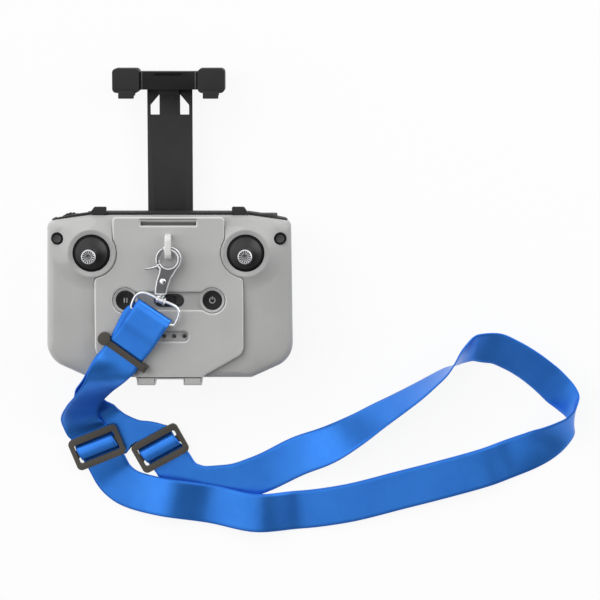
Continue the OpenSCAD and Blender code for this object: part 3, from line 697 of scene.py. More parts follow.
def smooth_line(points, per=6, closed=False):
    """A smooth curve through the points that never overshoots between two of them."""
    p = np.array(points, float)
    if closed:
        p = np.vstack([p[-3:], p, p[:4]])
    gap = np.linalg.norm(np.diff(p[:, :3], axis=0), axis=1)
    slope = np.diff(p, axis=0) / gap[:, None]
    a, b = slope[:-1], slope[1:]
    w1, w2 = 2 * gap[1:] + gap[:-1], gap[1:] + 2 * gap[:-1]
    with np.errstate(divide="ignore", invalid="ignore"):
        mean = (w1 + w2)[:, None] / (w1[:, None] / a + w2[:, None] / b)
    inner = np.where(a * b > 0, mean, 0.0)
    grade = np.vstack([slope[:1], inner, slope[-1:]])
    rows = []
    first, last = (3, len(p) - 4) if closed else (0, len(p) - 1)
    for i in range(first, last):
        for k in range(per):
            t = k / per
            h = gap[i]
            rows.append(
                p[i] * (1 + 2 * t) * (1 - t) ** 2 + grade[i] * h * t * (1 - t) ** 2
                + p[i + 1] * t * t * (3 - 2 * t) + grade[i + 1] * h * t * t * (t - 1)
            )
    if not closed:
        rows.append(p[-1])
    return np.array(rows)


print("sweep test:", len(sweep([(0, 0, 0), (1, 0, 0), (2, 0, 0)], circle_section(1))[0]), "points")

# %% [markdown]
# Some pieces keep the CAD shape exactly and only need what no real part lacks: broken edges.
# The solid is copied, its flat faces are merged, and a bevel rounds each edge by a fraction
# of a millimetre, so the light catches it.
# A flat face with a hole in it doesn't merge well, so a piece with windows keeps its triangles.


# %% Copies with broken edges
def baked(obj):
    """The object with its modifiers turned into mesh."""
    mesh = bpy.data.meshes.new_from_object(obj.evaluated_get(bpy.context.evaluated_depsgraph_get()))
    obj.modifiers.clear()
    obj.data = mesh


def broken_edges(node, width, segments=3, angle=32, limit=38, join=True):
    """A copy of a solid with its edges rounded by width, in mm."""
    mesh = nodes[node].data.copy()
    work = bmesh.new()
    work.from_mesh(mesh)
    bmesh.ops.remove_doubles(work, verts=work.verts, dist=2e-6)
    if join:
        bmesh.ops.dissolve_limit(work, angle_limit=math.radians(0.4), verts=work.verts, edges=work.edges)
    work.to_mesh(mesh)
    work.free()
    obj = bpy.data.objects.new(node + "_skin", mesh)
    scene.collection.objects.link(obj)
    bevel = obj.modifiers.new("edge", "BEVEL")
    bevel.width = width * MM
    bevel.segments = segments
    bevel.limit_method = "ANGLE"
    bevel.angle_limit = math.radians(angle)
    bevel.miter_outer = "MITER_ARC"
    baked(obj)
    soften_edges(obj.data, limit)
    return obj


def cut(obj, *tools):
    """Take the tools' shapes out of obj and throw the tools away."""
    for tool in tools:
        step = obj.modifiers.new("cut", "BOOLEAN")
        step.operation = "DIFFERENCE"
        step.solver = "MANIFOLD"
        step.object = tool
        bpy.context.view_layer.update()
        baked(obj)
        bpy.data.objects.remove(tool)


print("broken edges ready")

# %% [markdown]
# ## The strap's route
# The strap is one piece of webbing, 25 mm wide, and the photograph shows it from end to end.
# A cloth simulation would drop it anywhere, so its lay is given in stations.
# Each station gives the middle of the ribbon, the direction of its width seen from above, and
# how far that width leans.
# It runs from the keeper down to the right slider, out along the far side of the loop, over a twist
# onto its edge, round the end, back along the near side, through the left slider and up again.

# %% Stations of the ribbon
drop_back = [
    (-28, -32.5, 39.9, -36, 0), (-31.5, -37.5, 39.8, -36, 0), (-35, -41, 40, -34, -10),
    (-40.5, -47.5, 38, -29, -30), (-46, -53.5, 33.5, -25, -44), (-51, -60.5, 27, -20, -47),
    (-51.5, -66, 18.5, -8, -40), (-50, -72, 9.5, 8, -25), (-47.5, -78, 2.3, 24, -2),
    (-41.5, -85, 0.8, 44, 0), (-34, -90, 0.8, 58, 0), (-25, -93, 0.8, 60, 0),
]
far_run = [
    (6.5, -119, 0.8, 46, 0), (20, -124, 0.8, 82, 0), (36, -123, 0.8, 98, 0), (55.5, -117, 0.8, 110, 0),
    (79.5, -105, 2.4, 113, -7), (98.5, -97, 6.5, 115, -27), (117.5, -86, 10, 119, -47),
    (131, -77, 11.5, 122, -58), (144.5, -68.5, 12.5, 123, -67), (156, -61, 13, 124, -74),
    (165, -54.5, 13.3, 127, -81), (172.5, -49, 13.4, 127, -88), (179, -44, 13.1, 116, -102),
    (185, -38, 11.5, 98, -122), (192.5, -34, 9, 87, -141), (203.5, -34.5, 7.2, 75, -150),
    (215, -39, 7.5, 65, -148), (224.5, -44.5, 7.8, 58, -147), (232, -50, 7.8, 54, -147),
    (238.5, -55.5, 7.5, 51, -148), (244.5, -61.5, 7.8, 51, -147), (250, -67, 9.2, 55, -139),
    (253.5, -72, 10.5, 68, -131), (254.5, -77.5, 11.3, 92, -124), (253, -83, 10.9, 114, -128),
    (248.5, -88, 9.3, 124, -138), (241, -94, 6.5, 122, -153), (231.5, -99.5, 3.5, 114, -168),
    (216, -106, 2.2, 108, -178), (198.5, -112, 4.8, 106, -180), (172.5, -119.5, 4.4, 105, -180),
    (146.5, -126.5, 3.4, 104, -180), (107, -136.5, 2.2, 101, -180), (81, -140, 1.2, 96, -180),
    (55.5, -141, 7.6, 88, -180), (24, -136, 2.6, 81, -180), (-2, -131.5, 6.8, 79, -180),
    (-16, -129.5, 3, 74, -180), (-28, -126, 1.2, 60, -180), (-37, -119, 0.8, 40, -180),
]
rise_front = [
    (-55.5, -87.5, 3.1, 19, -180), (-57, -84, 5.6, 10, -185), (-58.5, -79, 10.2, -2, -200),
    (-56, -71, 19, -13, -218), (-50.5, -62.5, 28.5, -20, -227), (-45, -55.5, 35, -25, -224),
    (-40, -48.5, 40, -29, -210), (-35, -41.5, 42.2, -34, -190), (-31, -37, 42, -36, -181),
    (-28, -32.5, 42, -36, -180),
]
print("stations:", len(drop_back) + len(far_run) + len(rise_front))

# %% [markdown]
# In a slider the webbing comes in flat, rises over the middle bar and dives again.
# Both sliders are threaded alike, so one function gives the stations from a slider's place and turn.


# %% Through the sliders
def through_slider(x, y, turn, skew, lift, way):
    """Stations under the frame, up over the middle bar and down again."""
    c, s = math.cos(math.radians(turn)), math.sin(math.radians(turn))
    rows = []
    for k, h in ((-10.5, 0.8), (-8.6, 0.8), (-5.6, 1), (-3.2, 4.1), (0, 4.7), (3.2, 4.1), (5.6, 1),
                 (8.6, 0.8), (10.5, 0.8)):
        d = way * k
        e = d * math.tan(math.radians(skew))
        rows.append((x + d * s + e * c, y - d * c + e * s, h + lift, turn, 0 if way > 0 else -180))
    return rows


left_slider_at = (-48.3, -98.6, 22, 8, 1.6)
right_slider_at = (-8.2, -99.5, 29, 9, 0)
stations = (
    drop_back + through_slider(*right_slider_at, 1) + far_run
    + through_slider(*left_slider_at, -1) + rise_front
)
print("with sliders:", len(stations), "stations")


# %% [markdown]
# The ribbon is swept by its own functions, because it twists: its width direction comes from the
# stations and not from the path.
# Its section is a thin slab with round edges, and every point keeps its place across and along the
# ribbon as flat coordinates for the weave.


# %% Ribbon of webbing
def ribbon_frame(rows, per):
    """Middle points, width directions, face directions and the run length along a ribbon."""
    line = smooth_line(rows, per)
    middle = line[:, :3]
    turn, lean = np.radians(line[:, 3]), np.radians(line[:, 4])
    wide = np.stack([np.cos(turn) * np.cos(lean), np.sin(turn) * np.cos(lean), np.sin(lean)], 1)
    up = np.cross(np.gradient(middle, axis=0), wide)
    up /= np.linalg.norm(up, axis=1)[:, None]
    run = np.concatenate([[0], np.cumsum(np.linalg.norm(np.diff(middle, axis=0), axis=1))])
    return middle, wide, up, run


def ribbon_section(width, thick):
    """A thin slab with round edges: its lower side, and that side turned half way round."""
    half, t = width / 2, thick / 2
    lower = [(u, -t) for u in np.linspace(-half + t, half - t, 13)]
    lower += [(half - 0.3 * t, -0.6 * t), (half, 0), (half - 0.3 * t, 0.6 * t)]
    return lower + [(-u, -v) for u, v in lower]


def webbing(name, rows, width, thick, per=6):
    """A ribbon with flat coordinates, its middle line and its length, both in metres."""
    middle, wide, up, run = ribbon_frame(rows, per)
    section = ribbon_section(width, thick)
    m, n = len(section), len(run)
    pts = [middle[i] + u * wide[i] + v * up[i] for i in range(n) for u, v in section]
    faces, flat = [], []
    for i in range(n - 1):
        for k in range(m):
            q = (k + 1) % m
            faces.append([i * m + k, i * m + q, (i + 1) * m + q, (i + 1) * m + k])
            flat.append([(section[k][0], run[i]), (section[q][0], run[i]),
                         (section[q][0], run[i + 1]), (section[k][0], run[i + 1])])
    for ring, end in ((list(range(m))[::-1], 0), (list(range((n - 1) * m, n * m)), -1)):
        faces.append(ring)
        flat.append([(section[k % m][0], run[end]) for k in ring])
    mesh = bpy.data.meshes.new(name)
    mesh.from_pydata([tuple(c * MM for c in p) for p in pts], [], faces)
    sheet = mesh.uv_layers.new(name="weave")
    for face, coords in zip(mesh.polygons, flat):
        face.use_smooth = True
        for corner, (u, v) in zip(face.loop_indices, coords):
            sheet.data[corner].uv = (u * MM, v * MM)
    obj = bpy.data.objects.new(name, mesh)
    scene.collection.objects.link(obj)
    return obj, [tuple(c * MM for c in p) for p in middle], float(run[-1]) * MM


STRAP_W, TAB_W, WEBBING_T = 25, 24.4, 1
strap, strap_path, strap_length = webbing("neck_strap_webbing", stations, STRAP_W, WEBBING_T)
dress(strap, "case", webbing_blue, "webbing_blue", "neck_strap")
print("strap length in metres:", round(strap_length, 3))

# %% [markdown]
# The strap's upper end is a short doubled tab: it goes up to the D-ring, round its bar and back,
# and both ends sit in the keeper.
# In the photograph its lower layer fans out a little to the left, so that layer is turned slightly.
# It is one more ribbon: its rows follow the upper layer, half a circle round the bar and the lower layer.

# %% Folded tab at the D-ring
FOLD_C, FOLD_TURN, FOLD_R = np.array([-8.0, -5.0]), -34, 2.1
down = np.array([math.sin(math.radians(FOLD_TURN)), -math.cos(math.radians(FOLD_TURN))])
hem = (-26.7, -31.0)
fold_z = HOOK_Z - 0.1


def tab_row(point, z, turn):
    return (point[0], point[1], z, turn, 0.0)


tab_rows = [tab_row(hem, 42, -36), tab_row(FOLD_C + down * 22, 43.4, -35)]
tab_rows += [tab_row(FOLD_C + down * 14, 45.2, FOLD_TURN), tab_row(FOLD_C + down * 6, 44.9, FOLD_TURN)]
for t in np.radians(range(90, -91, -30)):
    bend = FOLD_C + down * (FOLD_R * (1 - math.cos(t)) + 0.5)
    tab_rows += [tab_row(bend, fold_z + FOLD_R * math.sin(t), FOLD_TURN + (1 if t < -0.01 else 0))]
tab_rows += [tab_row((-14.6, -9.2), 39.7, -30), tab_row((-22.2, -21.6), 39.7, -30), tab_row(hem, 39.9, -36)]
tab, _, tab_length = webbing("strap_tab_webbing", tab_rows, TAB_W, WEBBING_T)
dress(tab, "case", webbing_blue, "webbing_blue", "strap_tab")
print("tab length in metres:", round(tab_length, 3))

# %% [markdown]
# ## Hardware on the strap
# The keeper and the two sliders are plain injection mouldings.
# Their CAD shapes are right, so copies with generous rounded edges are enough.
# The sliders have windows, so their flat faces aren't merged.

# %% Keeper and sliders
keeper = broken_edges("strap_keeper", 0.7, 4)
left_frame = broken_edges("left_slider", 0.6, 4, join=False)
right_frame = broken_edges("right_slider", 0.6, 4, join=False)
for piece, node in ((keeper, "strap_keeper"), (left_frame, "left_slider"), (right_frame, "right_slider")):
    dress(piece, "case", slider_brown, "black_plastic", node)

# %% [markdown]
# ## The shells
# The front shell is a pan with a flat middle, a face that falls away gently to the grips and a
# soft rim.
# It could be cut from a block, but a stack of scaled outlines gives the crown in one smooth surface.
# A solidify step then makes it a real shell, 2.2 mm thick, and the openings are cut through it.


# %% Body outline
MIDDLE_Y, HALF_H = (TOP_Y + LOW_Y) / 2, (TOP_Y - LOW_Y) / 2


def body_outline():
    """Two arcs at the shoulder, two at the grip, and their mirror image."""
    half = arc((EDGE_X - 29, TOP_Y - 3.5), 3.5, 90, 82, 4)
    half += arc((EDGE_X - 5.5, TOP_Y - 7.8), 4.5, 82, 0.8, 18)
    half += arc((EDGE_X - 16, -27.5), 16, 0.8, -65.5, 30)
    half += arc((EDGE_X - 26.5, LOW_Y + 4), 4, -65.5, -90, 8)
    return np.array(half + [(-x, y) for x, y in half[::-1]])


def scaled_outline(inset_x, inset_y):
    """The body's outline drawn in towards its middle."""
    out = body_outline()
    out[:, 0] *= 1 - inset_x / EDGE_X
    out[:, 1] = MIDDLE_Y + (out[:, 1] - MIDDLE_Y) * (1 - inset_y / HALF_H)
    return out


def stacked(levels):
    """Points and faces of a stack of scaled outlines; levels are (z, inset across, inset along)."""
    pts, faces = [], []
    for z, ix, iy in levels:
        pts += [(x, y, z) for x, y in scaled_outline(ix, iy)]
    m = len(body_outline())
    for i in range(len(levels) - 1):
        for k in range(m):
            q = (k + 1) % m
            faces.append([i * m + k, i * m + q, (i + 1) * m + q, (i + 1) * m + k])
    faces.append([(len(levels) - 1) * m + k for k in range(m)])
    return pts, faces


print("body outline has", len(body_outline()), "points")

# %% [markdown]
# The crown's levels give a height and how far the outline is drawn in there, across and along.
# A smooth line through them adds the rings between, and solidify gives the wall its thickness.

# %% Front shell before its openings
crown = smooth_line([
    (SPLIT_Z, 0.25, 0.25), (SPLIT_Z + 0.35, 0, 0), (FACE_Z - 8, 0, 0), (FACE_Z - 4.9, 0.9, 0.7),
    (FACE_Z - 2.7, 2.9, 2.1), (FACE_Z - 1.6, 6.3, 3.4), (FACE_Z - 0.65, 14, 4.9), (FACE_Z, 21.7, 6.3),
], 4)
levels = [tuple(row) for row in crown] + [(FACE_Z, 23.5, 7.5)]
front = make("front_shell_skin", stacked(levels), limit=60)
if front.data.polygons[-1].normal.z < 0:
    front.data.flip_normals()
skin = front.modifiers.new("wall", "SOLIDIFY")
skin.thickness = WALL * MM
skin.offset = -1
baked(front)
bpy.context.view_layer.update()
print("front shell before cutting:", len(front.data.polygons), "faces")

# %% [markdown]
# Around each stick the face swells into a low mound with a funnel in its top.
# A lathe would leave a step where the crowned face falls away, so the mound is a ring of rays: along each
# ray the height eases from the funnel's rim down to the height of the face below it.
# That height is felt for with a ray cast on the shell, and the mound ends before the shell's rim begins.


# %% Mounds around the sticks
def face_height(x, y):
    hit, spot = front.ray_cast((x * MM, y * MM, 0.1), (0, 0, -1))[:2]
    return spot.z / MM if hit else SPLIT_Z


def ring_stack(rings):
    """Points and faces of closed rings of equal length that form a tube closed on itself."""
    m = len(rings[0])
    pts = [p for ring in rings for p in ring]
    faces = []
    for i in range(len(rings)):
        j = (i + 1) % len(rings)
        for k in range(m):
            q = (k + 1) % m
            faces.append([i * m + k, i * m + q, j * m + q, j * m + k])
    return pts, faces


FUNNEL = [(11.62, -0.95), (11.74, -0.88), (12.6, -0.56), (13.5, -0.22), (14.0, -0.06), (14.35, 0)]
MOUND_WALL_R = OPENING_R + 0.35
MOUND_R, MOUND_END, LOWEST_FOOT = 14.6, 24.5, FACE_Z - 2.7
WALL_HEIGHTS = [FACE_Z + z for z in (-1.4, -0.2, 0.6, 1.8)]


def mound(side, steps=120):
    """Rays from the funnel's lip over the slope to the foot, and back up the inner wall."""
    rays = []
    for a in np.linspace(0, TURN, steps, endpoint=False):
        c, s = math.cos(a), math.sin(a)

        def at(r, z):
            return (side * (STICK_X + r * c), STICK_Y + r * s, z)

        end = MOUND_END
        while face_height(*at(end, 0)[:2]) < LOWEST_FOOT:
            end -= 0.25
        foot = face_height(*at(end, 0)[:2])
        ray = [at(r, RIM_Z + z) for r, z in FUNNEL]
        for t in np.linspace(0, 1, 15):
            r = MOUND_R + (end - MOUND_R) * t
            face = face_height(*at(r, 0)[:2])
            ray.append(at(r, face + (RIM_Z - 0.03 - face) * (1 - t) ** 2.0 - 0.03 * t))
        ray.append(at(end, foot - 1))
        ray += [at(math.sqrt(MOUND_WALL_R ** 2 - (z - PIVOT_Z) ** 2), z) for z in WALL_HEIGHTS]
        rays.append(ray)
    return ring_stack(list(zip(*rays)))


mounds = {hand: make(hand + "_stick_mound", mound(side)) for side, hand in HANDS}
print("mounds:", {hand: len(obj.data.polygons) for hand, obj in mounds.items()})

# %% [markdown]
# Now the shell is opened.
# The openings could be holes in the outlines, but the crown's rings don't follow them, so tools cut them.
# Each tool is a closed mesh a little longer than the wall is thick: a ball under each stick, pins for
# the buttons and the lamps, a slot for the switch and a window for the wheel.
# A wedge beside the plate sinks the face towards it, which gives the crease in the grip's surface.


# %% Cutting tools
def pin(r, x, y, z0, z1):
    return make("tool", lathe([(0, z0), (r, z0), (r, z1), (0, z1)], (x, y, 0), 64))


def slot_tool(w, h, r, x, y, z0, z1):
    loop = facing(slot_outline(w, h, r, x, y, 10), True)
    m = len(loop)
    pts = [(*p, z0) for p in loop] + [(*p, z1) for p in loop]
    faces = [[k, (k + 1) % m, m + (k + 1) % m, m + k] for k in range(m)]
    return make("tool", (pts, faces + [list(range(m))[::-1], list(range(m, 2 * m))]))


def block(x0, x1, y0, y1, z0, z1):
    return slot_tool(x1 - x0, y1 - y0, 0, (x0 + x1) / 2, (y0 + y1) / 2, z0, z1)


def ball(r, x, y, z):
    angles = np.linspace(-math.pi / 2, math.pi / 2, 41)
    profile = [(abs(r * math.cos(t)) if abs(t) < 1.57 else 0, r * math.sin(t)) for t in angles]
    return make("tool", lathe(profile, (x, y, z), 96))


def trough(side, crease=53.2, foot=46.0, depth=0.8):
    """A wedge from the crease in the face down to the plate's side; it fades in below the mound."""
    rows = [(5, 0, 38), (-8, depth, 38), (-53, depth, 23)]
    low = []
    for y, deep, inner in rows:
        edge = [(crease, 0), (foot, deep), (inner, deep)]
        low += [(side * x, y, FACE_Z + 0.02 - d) for x, d in edge]
    high = [(x, y, FACE_Z + 2) for x, y, z in low]
    faces = [[0, 1, 4, 3], [1, 2, 5, 4], [3, 4, 7, 6], [4, 5, 8, 7]]
    faces += [[9 + v for v in f] for f in faces]
    rim = [0, 1, 2, 5, 8, 7, 6, 3]
    faces += [[a, b, b + 9, a + 9] for a, b in zip(rim, rim[1:] + rim[:1])]
    return make("tool", (low + high, faces))


print("cutting tools:", [f.__name__ for f in (pin, slot_tool, block, ball, trough)])

# %% [markdown]
# Slots are written as width, height, corner radius and middle, and a block as its six limits.
# Two of them only sink the face under the plate's windows, so that the plate's rim stands out.

# %% Openings in the front shell
BELOW, SUNK, ABOVE = FACE_Z - 8, FACE_Z - 0.5, FACE_Z + 4
SLOT_FLOOR = FACE_Z - 1.3
PLAY, LAMP_R = 0.3, 1.25
SWITCH_SLOT = (18.6, 8.1, 4.04, 0, -0.3)
BUTTON_CHANNEL = (2 * BUTTON_X, 10.4, 1, 0, -0.35)
LAMP_CHANNEL = (23.6, 6, 2.6, 0, LAMP_Y)
TOP_SLOT = (34.3, 2.8, 0.4, 0, 47.7)
WHEEL_WINDOW = (-70.7, -51.3, 34.6, 62.6, 14.5, 20.9)
tools = []
for side, _ in HANDS:
    tools += [trough(side)]
    tools += [ball(OPENING_R, side * STICK_X, STICK_Y, PIVOT_Z)]
    tools += [pin(SMALL_R + PLAY, side * SMALL_X, SMALL_Y, BELOW, ABOVE)]
    tools += [pin(BUTTON_R + PLAY, side * BUTTON_X, BUTTON_Y, BELOW, ABOVE)]
tools += [slot_tool(*SWITCH_SLOT, BELOW, ABOVE)]
tools += [slot_tool(*BUTTON_CHANNEL, SUNK, ABOVE), slot_tool(*LAMP_CHANNEL, SUNK, ABOVE)]
tools += [slot_tool(*TOP_SLOT, SLOT_FLOOR, ABOVE)]
tools += [pin(LAMP_R, x, LAMP_Y, BELOW, ABOVE) for x in LAMP_X]
tools += [block(*WHEEL_WINDOW)]
cut(front, *tools)
print("front shell after cutting:", len(front.data.polygons), "faces")

# %% [markdown]
# Three openings lie in the shell's sides: the release button's oval, the charging socket's oval and
# the wheel's window, which was cut above.
# The two ovals are pills lying along y, so the slot tool is turned up on its side.
# The narrow slot near the upper edge gets a darker floor colour: painted shade, because little light
# reaches it.


# %% Side openings
RELEASE_OVAL = (12.8, 6.8, 61, 20, 40, 58)
SOCKET_OVAL = (9.5, 3.7, 0, 24, -60, -41.5)


def oval_tool(w, h, x, z, y0, y1):
    tool = slot_tool(w, h, min(w, h) / 2 - 0.01, 0, 0, -y1, -y0)
    tool.data.transform(Matrix.Rotation(math.radians(90), 4, "X"))
    tool.data.transform(Matrix.Translation((x * MM, 0, z * MM)))
    return tool


cut(front, oval_tool(*RELEASE_OVAL), oval_tool(*SOCKET_OVAL))
soften_edges(front.data, 34)
dress(front, "case", shell_grey, "shell_grey", "front_shell")
# The slot's floor gets painted shade in a darker grey.
in_slot = upward(SLOT_FLOOR - 0.2, SLOT_FLOOR + 0.3)
second_finish(front, slot_painted_shade, lambda c, n: c.y > 46 and in_slot(c, n))

# %% [markdown]
# The bracket plate lies against the mounds, so its outline is needed before it is made.
# Grown by a third of a millimetre, it cuts the mounds back to the gap that the photograph shows as
# a dark line.


# %% Plate outline and the mounds' cuts
def plate_outline(grow=0.0):
    half = [(0, 51.7 + grow, 0)]
    half += [(34.5 + grow, 51.7 + grow, 2.5), (34.5 + grow, 39.6, 0), (34.3 + grow, 38.3, 0)]
    half += [(x, y, 0) for x, y in arc((STICK_X, STICK_Y), 15.5 - grow, 149, 256, 30)]
    half += [(44.6 + grow, 14.15 + grow, 0), (45.6 + grow, 13.3 + grow, 0), (46 + grow, 12, 0)]
    half += [(46 + grow, -33.2, 7), (21.4 + grow, -47.2 - grow, 3), (20.6 + grow, -49.5 - grow, 0.6)]
    return rounded(half + [(-x, y, r) for x, y, r in half[:0:-1]], 8)


for side, hand in HANDS:
    ring = mounds[hand]
    cut(ring, make("tool", plate(plate_outline(0.35), [], FACE_Z + 0.02, FACE_Z + 5, 0.01, 0.01)))
    cut(ring, pin(SMALL_R + PLAY, side * SMALL_X, SMALL_Y, BELOW, ABOVE))
    soften_edges(ring.data, 34)
    dress(ring, "case", shell_grey, "shell_grey")

# %% [markdown]
# The rear shell's two grip lobes and middle spine are only seen from behind, and the CAD solid has them.
# A copy with its edges broken and its slopes shaded smoothly is enough there.

# %% Rear shell
rear = broken_edges("rear_shell", 0.35, 2, 60, limit=48)
dress(rear, "case", shell_grey, "shell_grey", "rear_shell")

# %% [markdown]
# ## The strap bracket
# A separate plate clips over the face.
# Its outline hugs the sticks, one long window clears both round buttons and the mode switch, a
# slot clears the lamps, and two tongues grip the lower edge.
# The windows are holes of the plate's own rings and not cuts, so their rims round over as well.
# The rim is rounded generously, and its sloping faces are painted paler than the face as a highlight,
# so that its bright edge sets the plate off from the shell.


# %% Windows in the plate
def button_window():
    """Two circles around the buttons, joined by a straight channel."""
    r, low, high = 8.05, -5.95, 5.25
    up, dn = [math.degrees(math.asin((y - BUTTON_Y) / r)) for y in (high, low)]
    right = arc((BUTTON_X, BUTTON_Y), r, 180 + abs(dn), 540 - up, 48)
    right[0], right[-1] = (right[0][0] - 0.4, low), (right[-1][0] - 0.4, high)
    return right + [(-x, y) for x, y in right[::-1]]


lamp_window = slot_outline(24, 6.4, 2.8, 0, LAMP_Y)
windows = [button_window(), lamp_window, slot_outline(*TOP_SLOT)]
print("windows in the plate:", len(windows))

# %% [markdown]
# Each tongue is two plates: one carries the bracket's face over the body's edge, the other is the claw
# that reaches down behind it.


# %% Bracket plate and eyelet
TONGUE_Y, TONGUE_X = -53.1, (8.6, 20.2)
RIM_R = 1.2


def tongue(side, back_y):
    near, far = [side * x for x in TONGUE_X]
    return rounded([(near, TONGUE_Y, 0.6), (far, TONGUE_Y, 0.6), (far, back_y, 0.2), (near, back_y, 0.2)])


bracket_parts = [plate(plate_outline(), windows, FACE_Z + 0.02, PLATE_Z, RIM_R, 0.1)]
for side, _ in HANDS:
    bracket_parts += [plate(tongue(side, -48.4), [], FACE_Z + 0.1, PLATE_Z - 0.2, 0.5, 0.1)]
    bracket_parts += [plate(tongue(side, -50.1), [], FACE_Z - 9, FACE_Z + 1, 0.2, 0.5)]
bracket = make("strap_bracket_skin", *bracket_parts, limit=34)
dress(bracket, "case", bracket_grey, "bracket_grey", "strap_bracket")
# The rim's sloping faces get a painted highlight in a paler grey.
second_finish(bracket, rim_painted_highlight, lambda c, n: 0.2 < n.z < 0.97 and c.z > PLATE_Z - RIM_R)
eyelet = broken_edges("bracket_eyelet", 0.9, 5)
dress(eyelet, "case", eyelet_pale, "eyelet_pale", "bracket_eyelet")

# %% [markdown]
# ## Sticks
# Each stick is one turned shape: a ball-shaped dome that closes the opening at every tilt,
# a neck that flares out of it and a slim shaft.
# A ball and a cylinder could be merged, but one turned profile has no seam between them.
# Below the dome the profile goes on to the hub, and the cross pin is a second lathe on its side.
# The dome's foot, where it dips into the collar, is painted dull black as the shade of the gap, which sets
# it off from the grey.


# %% Sticks
HOLLOW_R, HUB_R, SKIRT_Z, DOME_SHADE_R = 16.4, 4.2, 7.4, 9.8


def ball_line(r, start, end, count):
    """A profile along a ball about the pivot, from one height angle to another."""
    return [(r * math.cos(t), r * math.sin(t)) for t in np.linspace(start, end, count)]


dome = ball_line(DOME_R, math.asin(SKIRT_Z / DOME_R), 1.30, 26)
under = ball_line(HOLLOW_R, 1.41, math.asin(SKIRT_Z / HOLLOW_R), 20)
hub = ball_line(HUB_R, 0.9, -1.45, 16)
neck = [(3.1, 17.56), (2.7, 17.8), (2.45, 18.4), (2.25, 19.4), (2.14, 20.6), (2.1, 22)]
stick_profile = [(0, 27.8), (2.1, 27.8)] + neck[::-1] + dome[::-1] + under[::-1] + hub + [(0, -HUB_R)]
for side, hand in HANDS:
    spot = (side * STICK_X, STICK_Y, PIVOT_Z)
    cross_pin = lathe([(0, -9.2), (1.3, -9.2), (1.5, -9), (1.5, 9), (1.3, 9.2), (0, 9.2)], spot, 32, "Y")
    stick = make(hand + "_stick_skin", lathe(stick_profile, spot, 96), cross_pin)
    dress(stick, hand + "_stick", dome_black, "gloss_black", hand + "_stick")
    # The dome's foot gets painted shade: the dull black stands for the gap's shadow.
    second_finish(stick, painted_gap_shade, lambda c, n: math.dist(c[:2], spot[:2]) > DOME_SHADE_R)

# %% [markdown]
# The stick ends are screwed-on metal caps: a bright rim round a ring of milled slots for the thumb.
# Sixteen cuts would take long, so the lathe's rings between the rim and the middle are pushed down
# wherever a slot lies.
# The faces at the bottom of the slots are painted dull black as shade, and the hub in
# the middle keeps the grey of the casting.


# %% Slotted stick ends
SLOT_DEPTH, CAP_HUB_R = 0.8, 1.75


def slotted_cap(centre, slots=16, per=10):
    """Points, faces and the numbers of the faces in the slots.

    The profile's rows are radius, height and whether the slots cut there.
    """
    profile = [(2.35, 0, 0), (2.5, 0.3, 0), (3.1, 2.4, 0), (3.2, 2.7, 0), (4.1, 5.2, 0), (4.4, 5.7, 0),
               (4.4, 7.2, 0), (4.34, 7.6, 0), (4.12, 7.86, 0), (3.8, 7.95, 0), (3.6, 7.9, 1), (2.7, 7.8, 1),
               (1.9, 7.7, 1), (1.7, 7.72, 0), (1.3, 7.6, 0), (0.9, 7.3, 0), (0, 7.2, 0)]
    steps = slots * per
    pts, rows = [], []
    for r, z, slotted in profile:
        count = 1 if r == 0 else steps
        rows.append(list(range(len(pts), len(pts) + count)))
        for k in range(count):
            a = TURN * k / steps
            deep = SLOT_DEPTH if slotted and k % per < per * 0.5 else 0
            pts.append((centre[0] + r * math.cos(a), centre[1] + r * math.sin(a), centre[2] + z - deep))
    faces, dark = [rows[0][::-1]], []
    for i, (low, high) in enumerate(zip(rows, rows[1:])):
        for k in range(steps):
            q = (k + 1) % steps
            if profile[i][2] and profile[i + 1][2] and k % per < per * 0.5:
                dark.append(len(faces))
            quad = [low[k], low[q], high[q % len(high)], high[k % len(high)]]
            faces.append([v for n, v in enumerate(quad) if v not in quad[:n]])
    return pts, faces, dark


for side, hand in HANDS:
    foot_z = reach(hand + "_stick_tip")[0][2]
    pts, faces, dark = slotted_cap((side * STICK_X, STICK_Y, foot_z))
    cap = make(hand + "_stick_tip_skin", (pts, faces), limit=44)
    dress(cap, hand + "_stick", aluminium, "aluminium", hand + "_stick_tip")
    # The slot bottoms get painted shade in dull black.
    cap.data.materials.append(painted_gap_shade)
    for number in dark:
        cap.data.polygons[number].material_index = 1
    axis = (side * STICK_X, STICK_Y)
    second_finish(cap, cast_grey, lambda c, n: math.dist(c[:2], axis) < CAP_HUB_R and n.z > 0.3)

# %% [markdown]
# ## Buttons
# The two round face buttons are slightly dished discs with a rounded rim.
# The right one carries the usual power mark and the left one two pause bars, printed in pale grey.
# The marks are drawn in the shader as distances from the button's middle, so they need no geometry.


# %% Printed button finish
def printed(name, at_x, at_y, mark):
    kit = Finish(name, Specular_IOR_Level=0.2)
    x, y = kit.axes()[:2]
    x, y = x - at_x * MM, y - at_y * MM
    if mark == "power":
        ring = ((x * x + y * y) ** 0.5 - 0.0017).within(0.00019)
        open_top = 1 - x.within(0.00062) * (y > 0)
        stem = x.within(0.00018) * (y - 0.0014).within(0.0009)
        ink = ring * open_top + stem
    else:
        ink = (abs(x) - 0.0008).within(0.00028) * y.within(0.0014)
    smear = kit.noise(150, 4.0, 0.6)
    face = kit.mix(smear.ramp(0.4, 0.75), tone(24, 24, 25), tone(30, 30, 31))
    kit.feed(Base_Color=kit.mix(ink, face, tone(168, 168, 168)))
    kit.feed(Roughness=0.34 + 0.1 * (smear - 0.5) + 0.1 * ink)
    kit.bump(kit.noise(2400, 2.0), 0.01, 0.5)
    return kit.material


marks = {"pause_button": (-1, "pause"), "power_button": (1, "power")}
print("printed buttons:", list(marks))
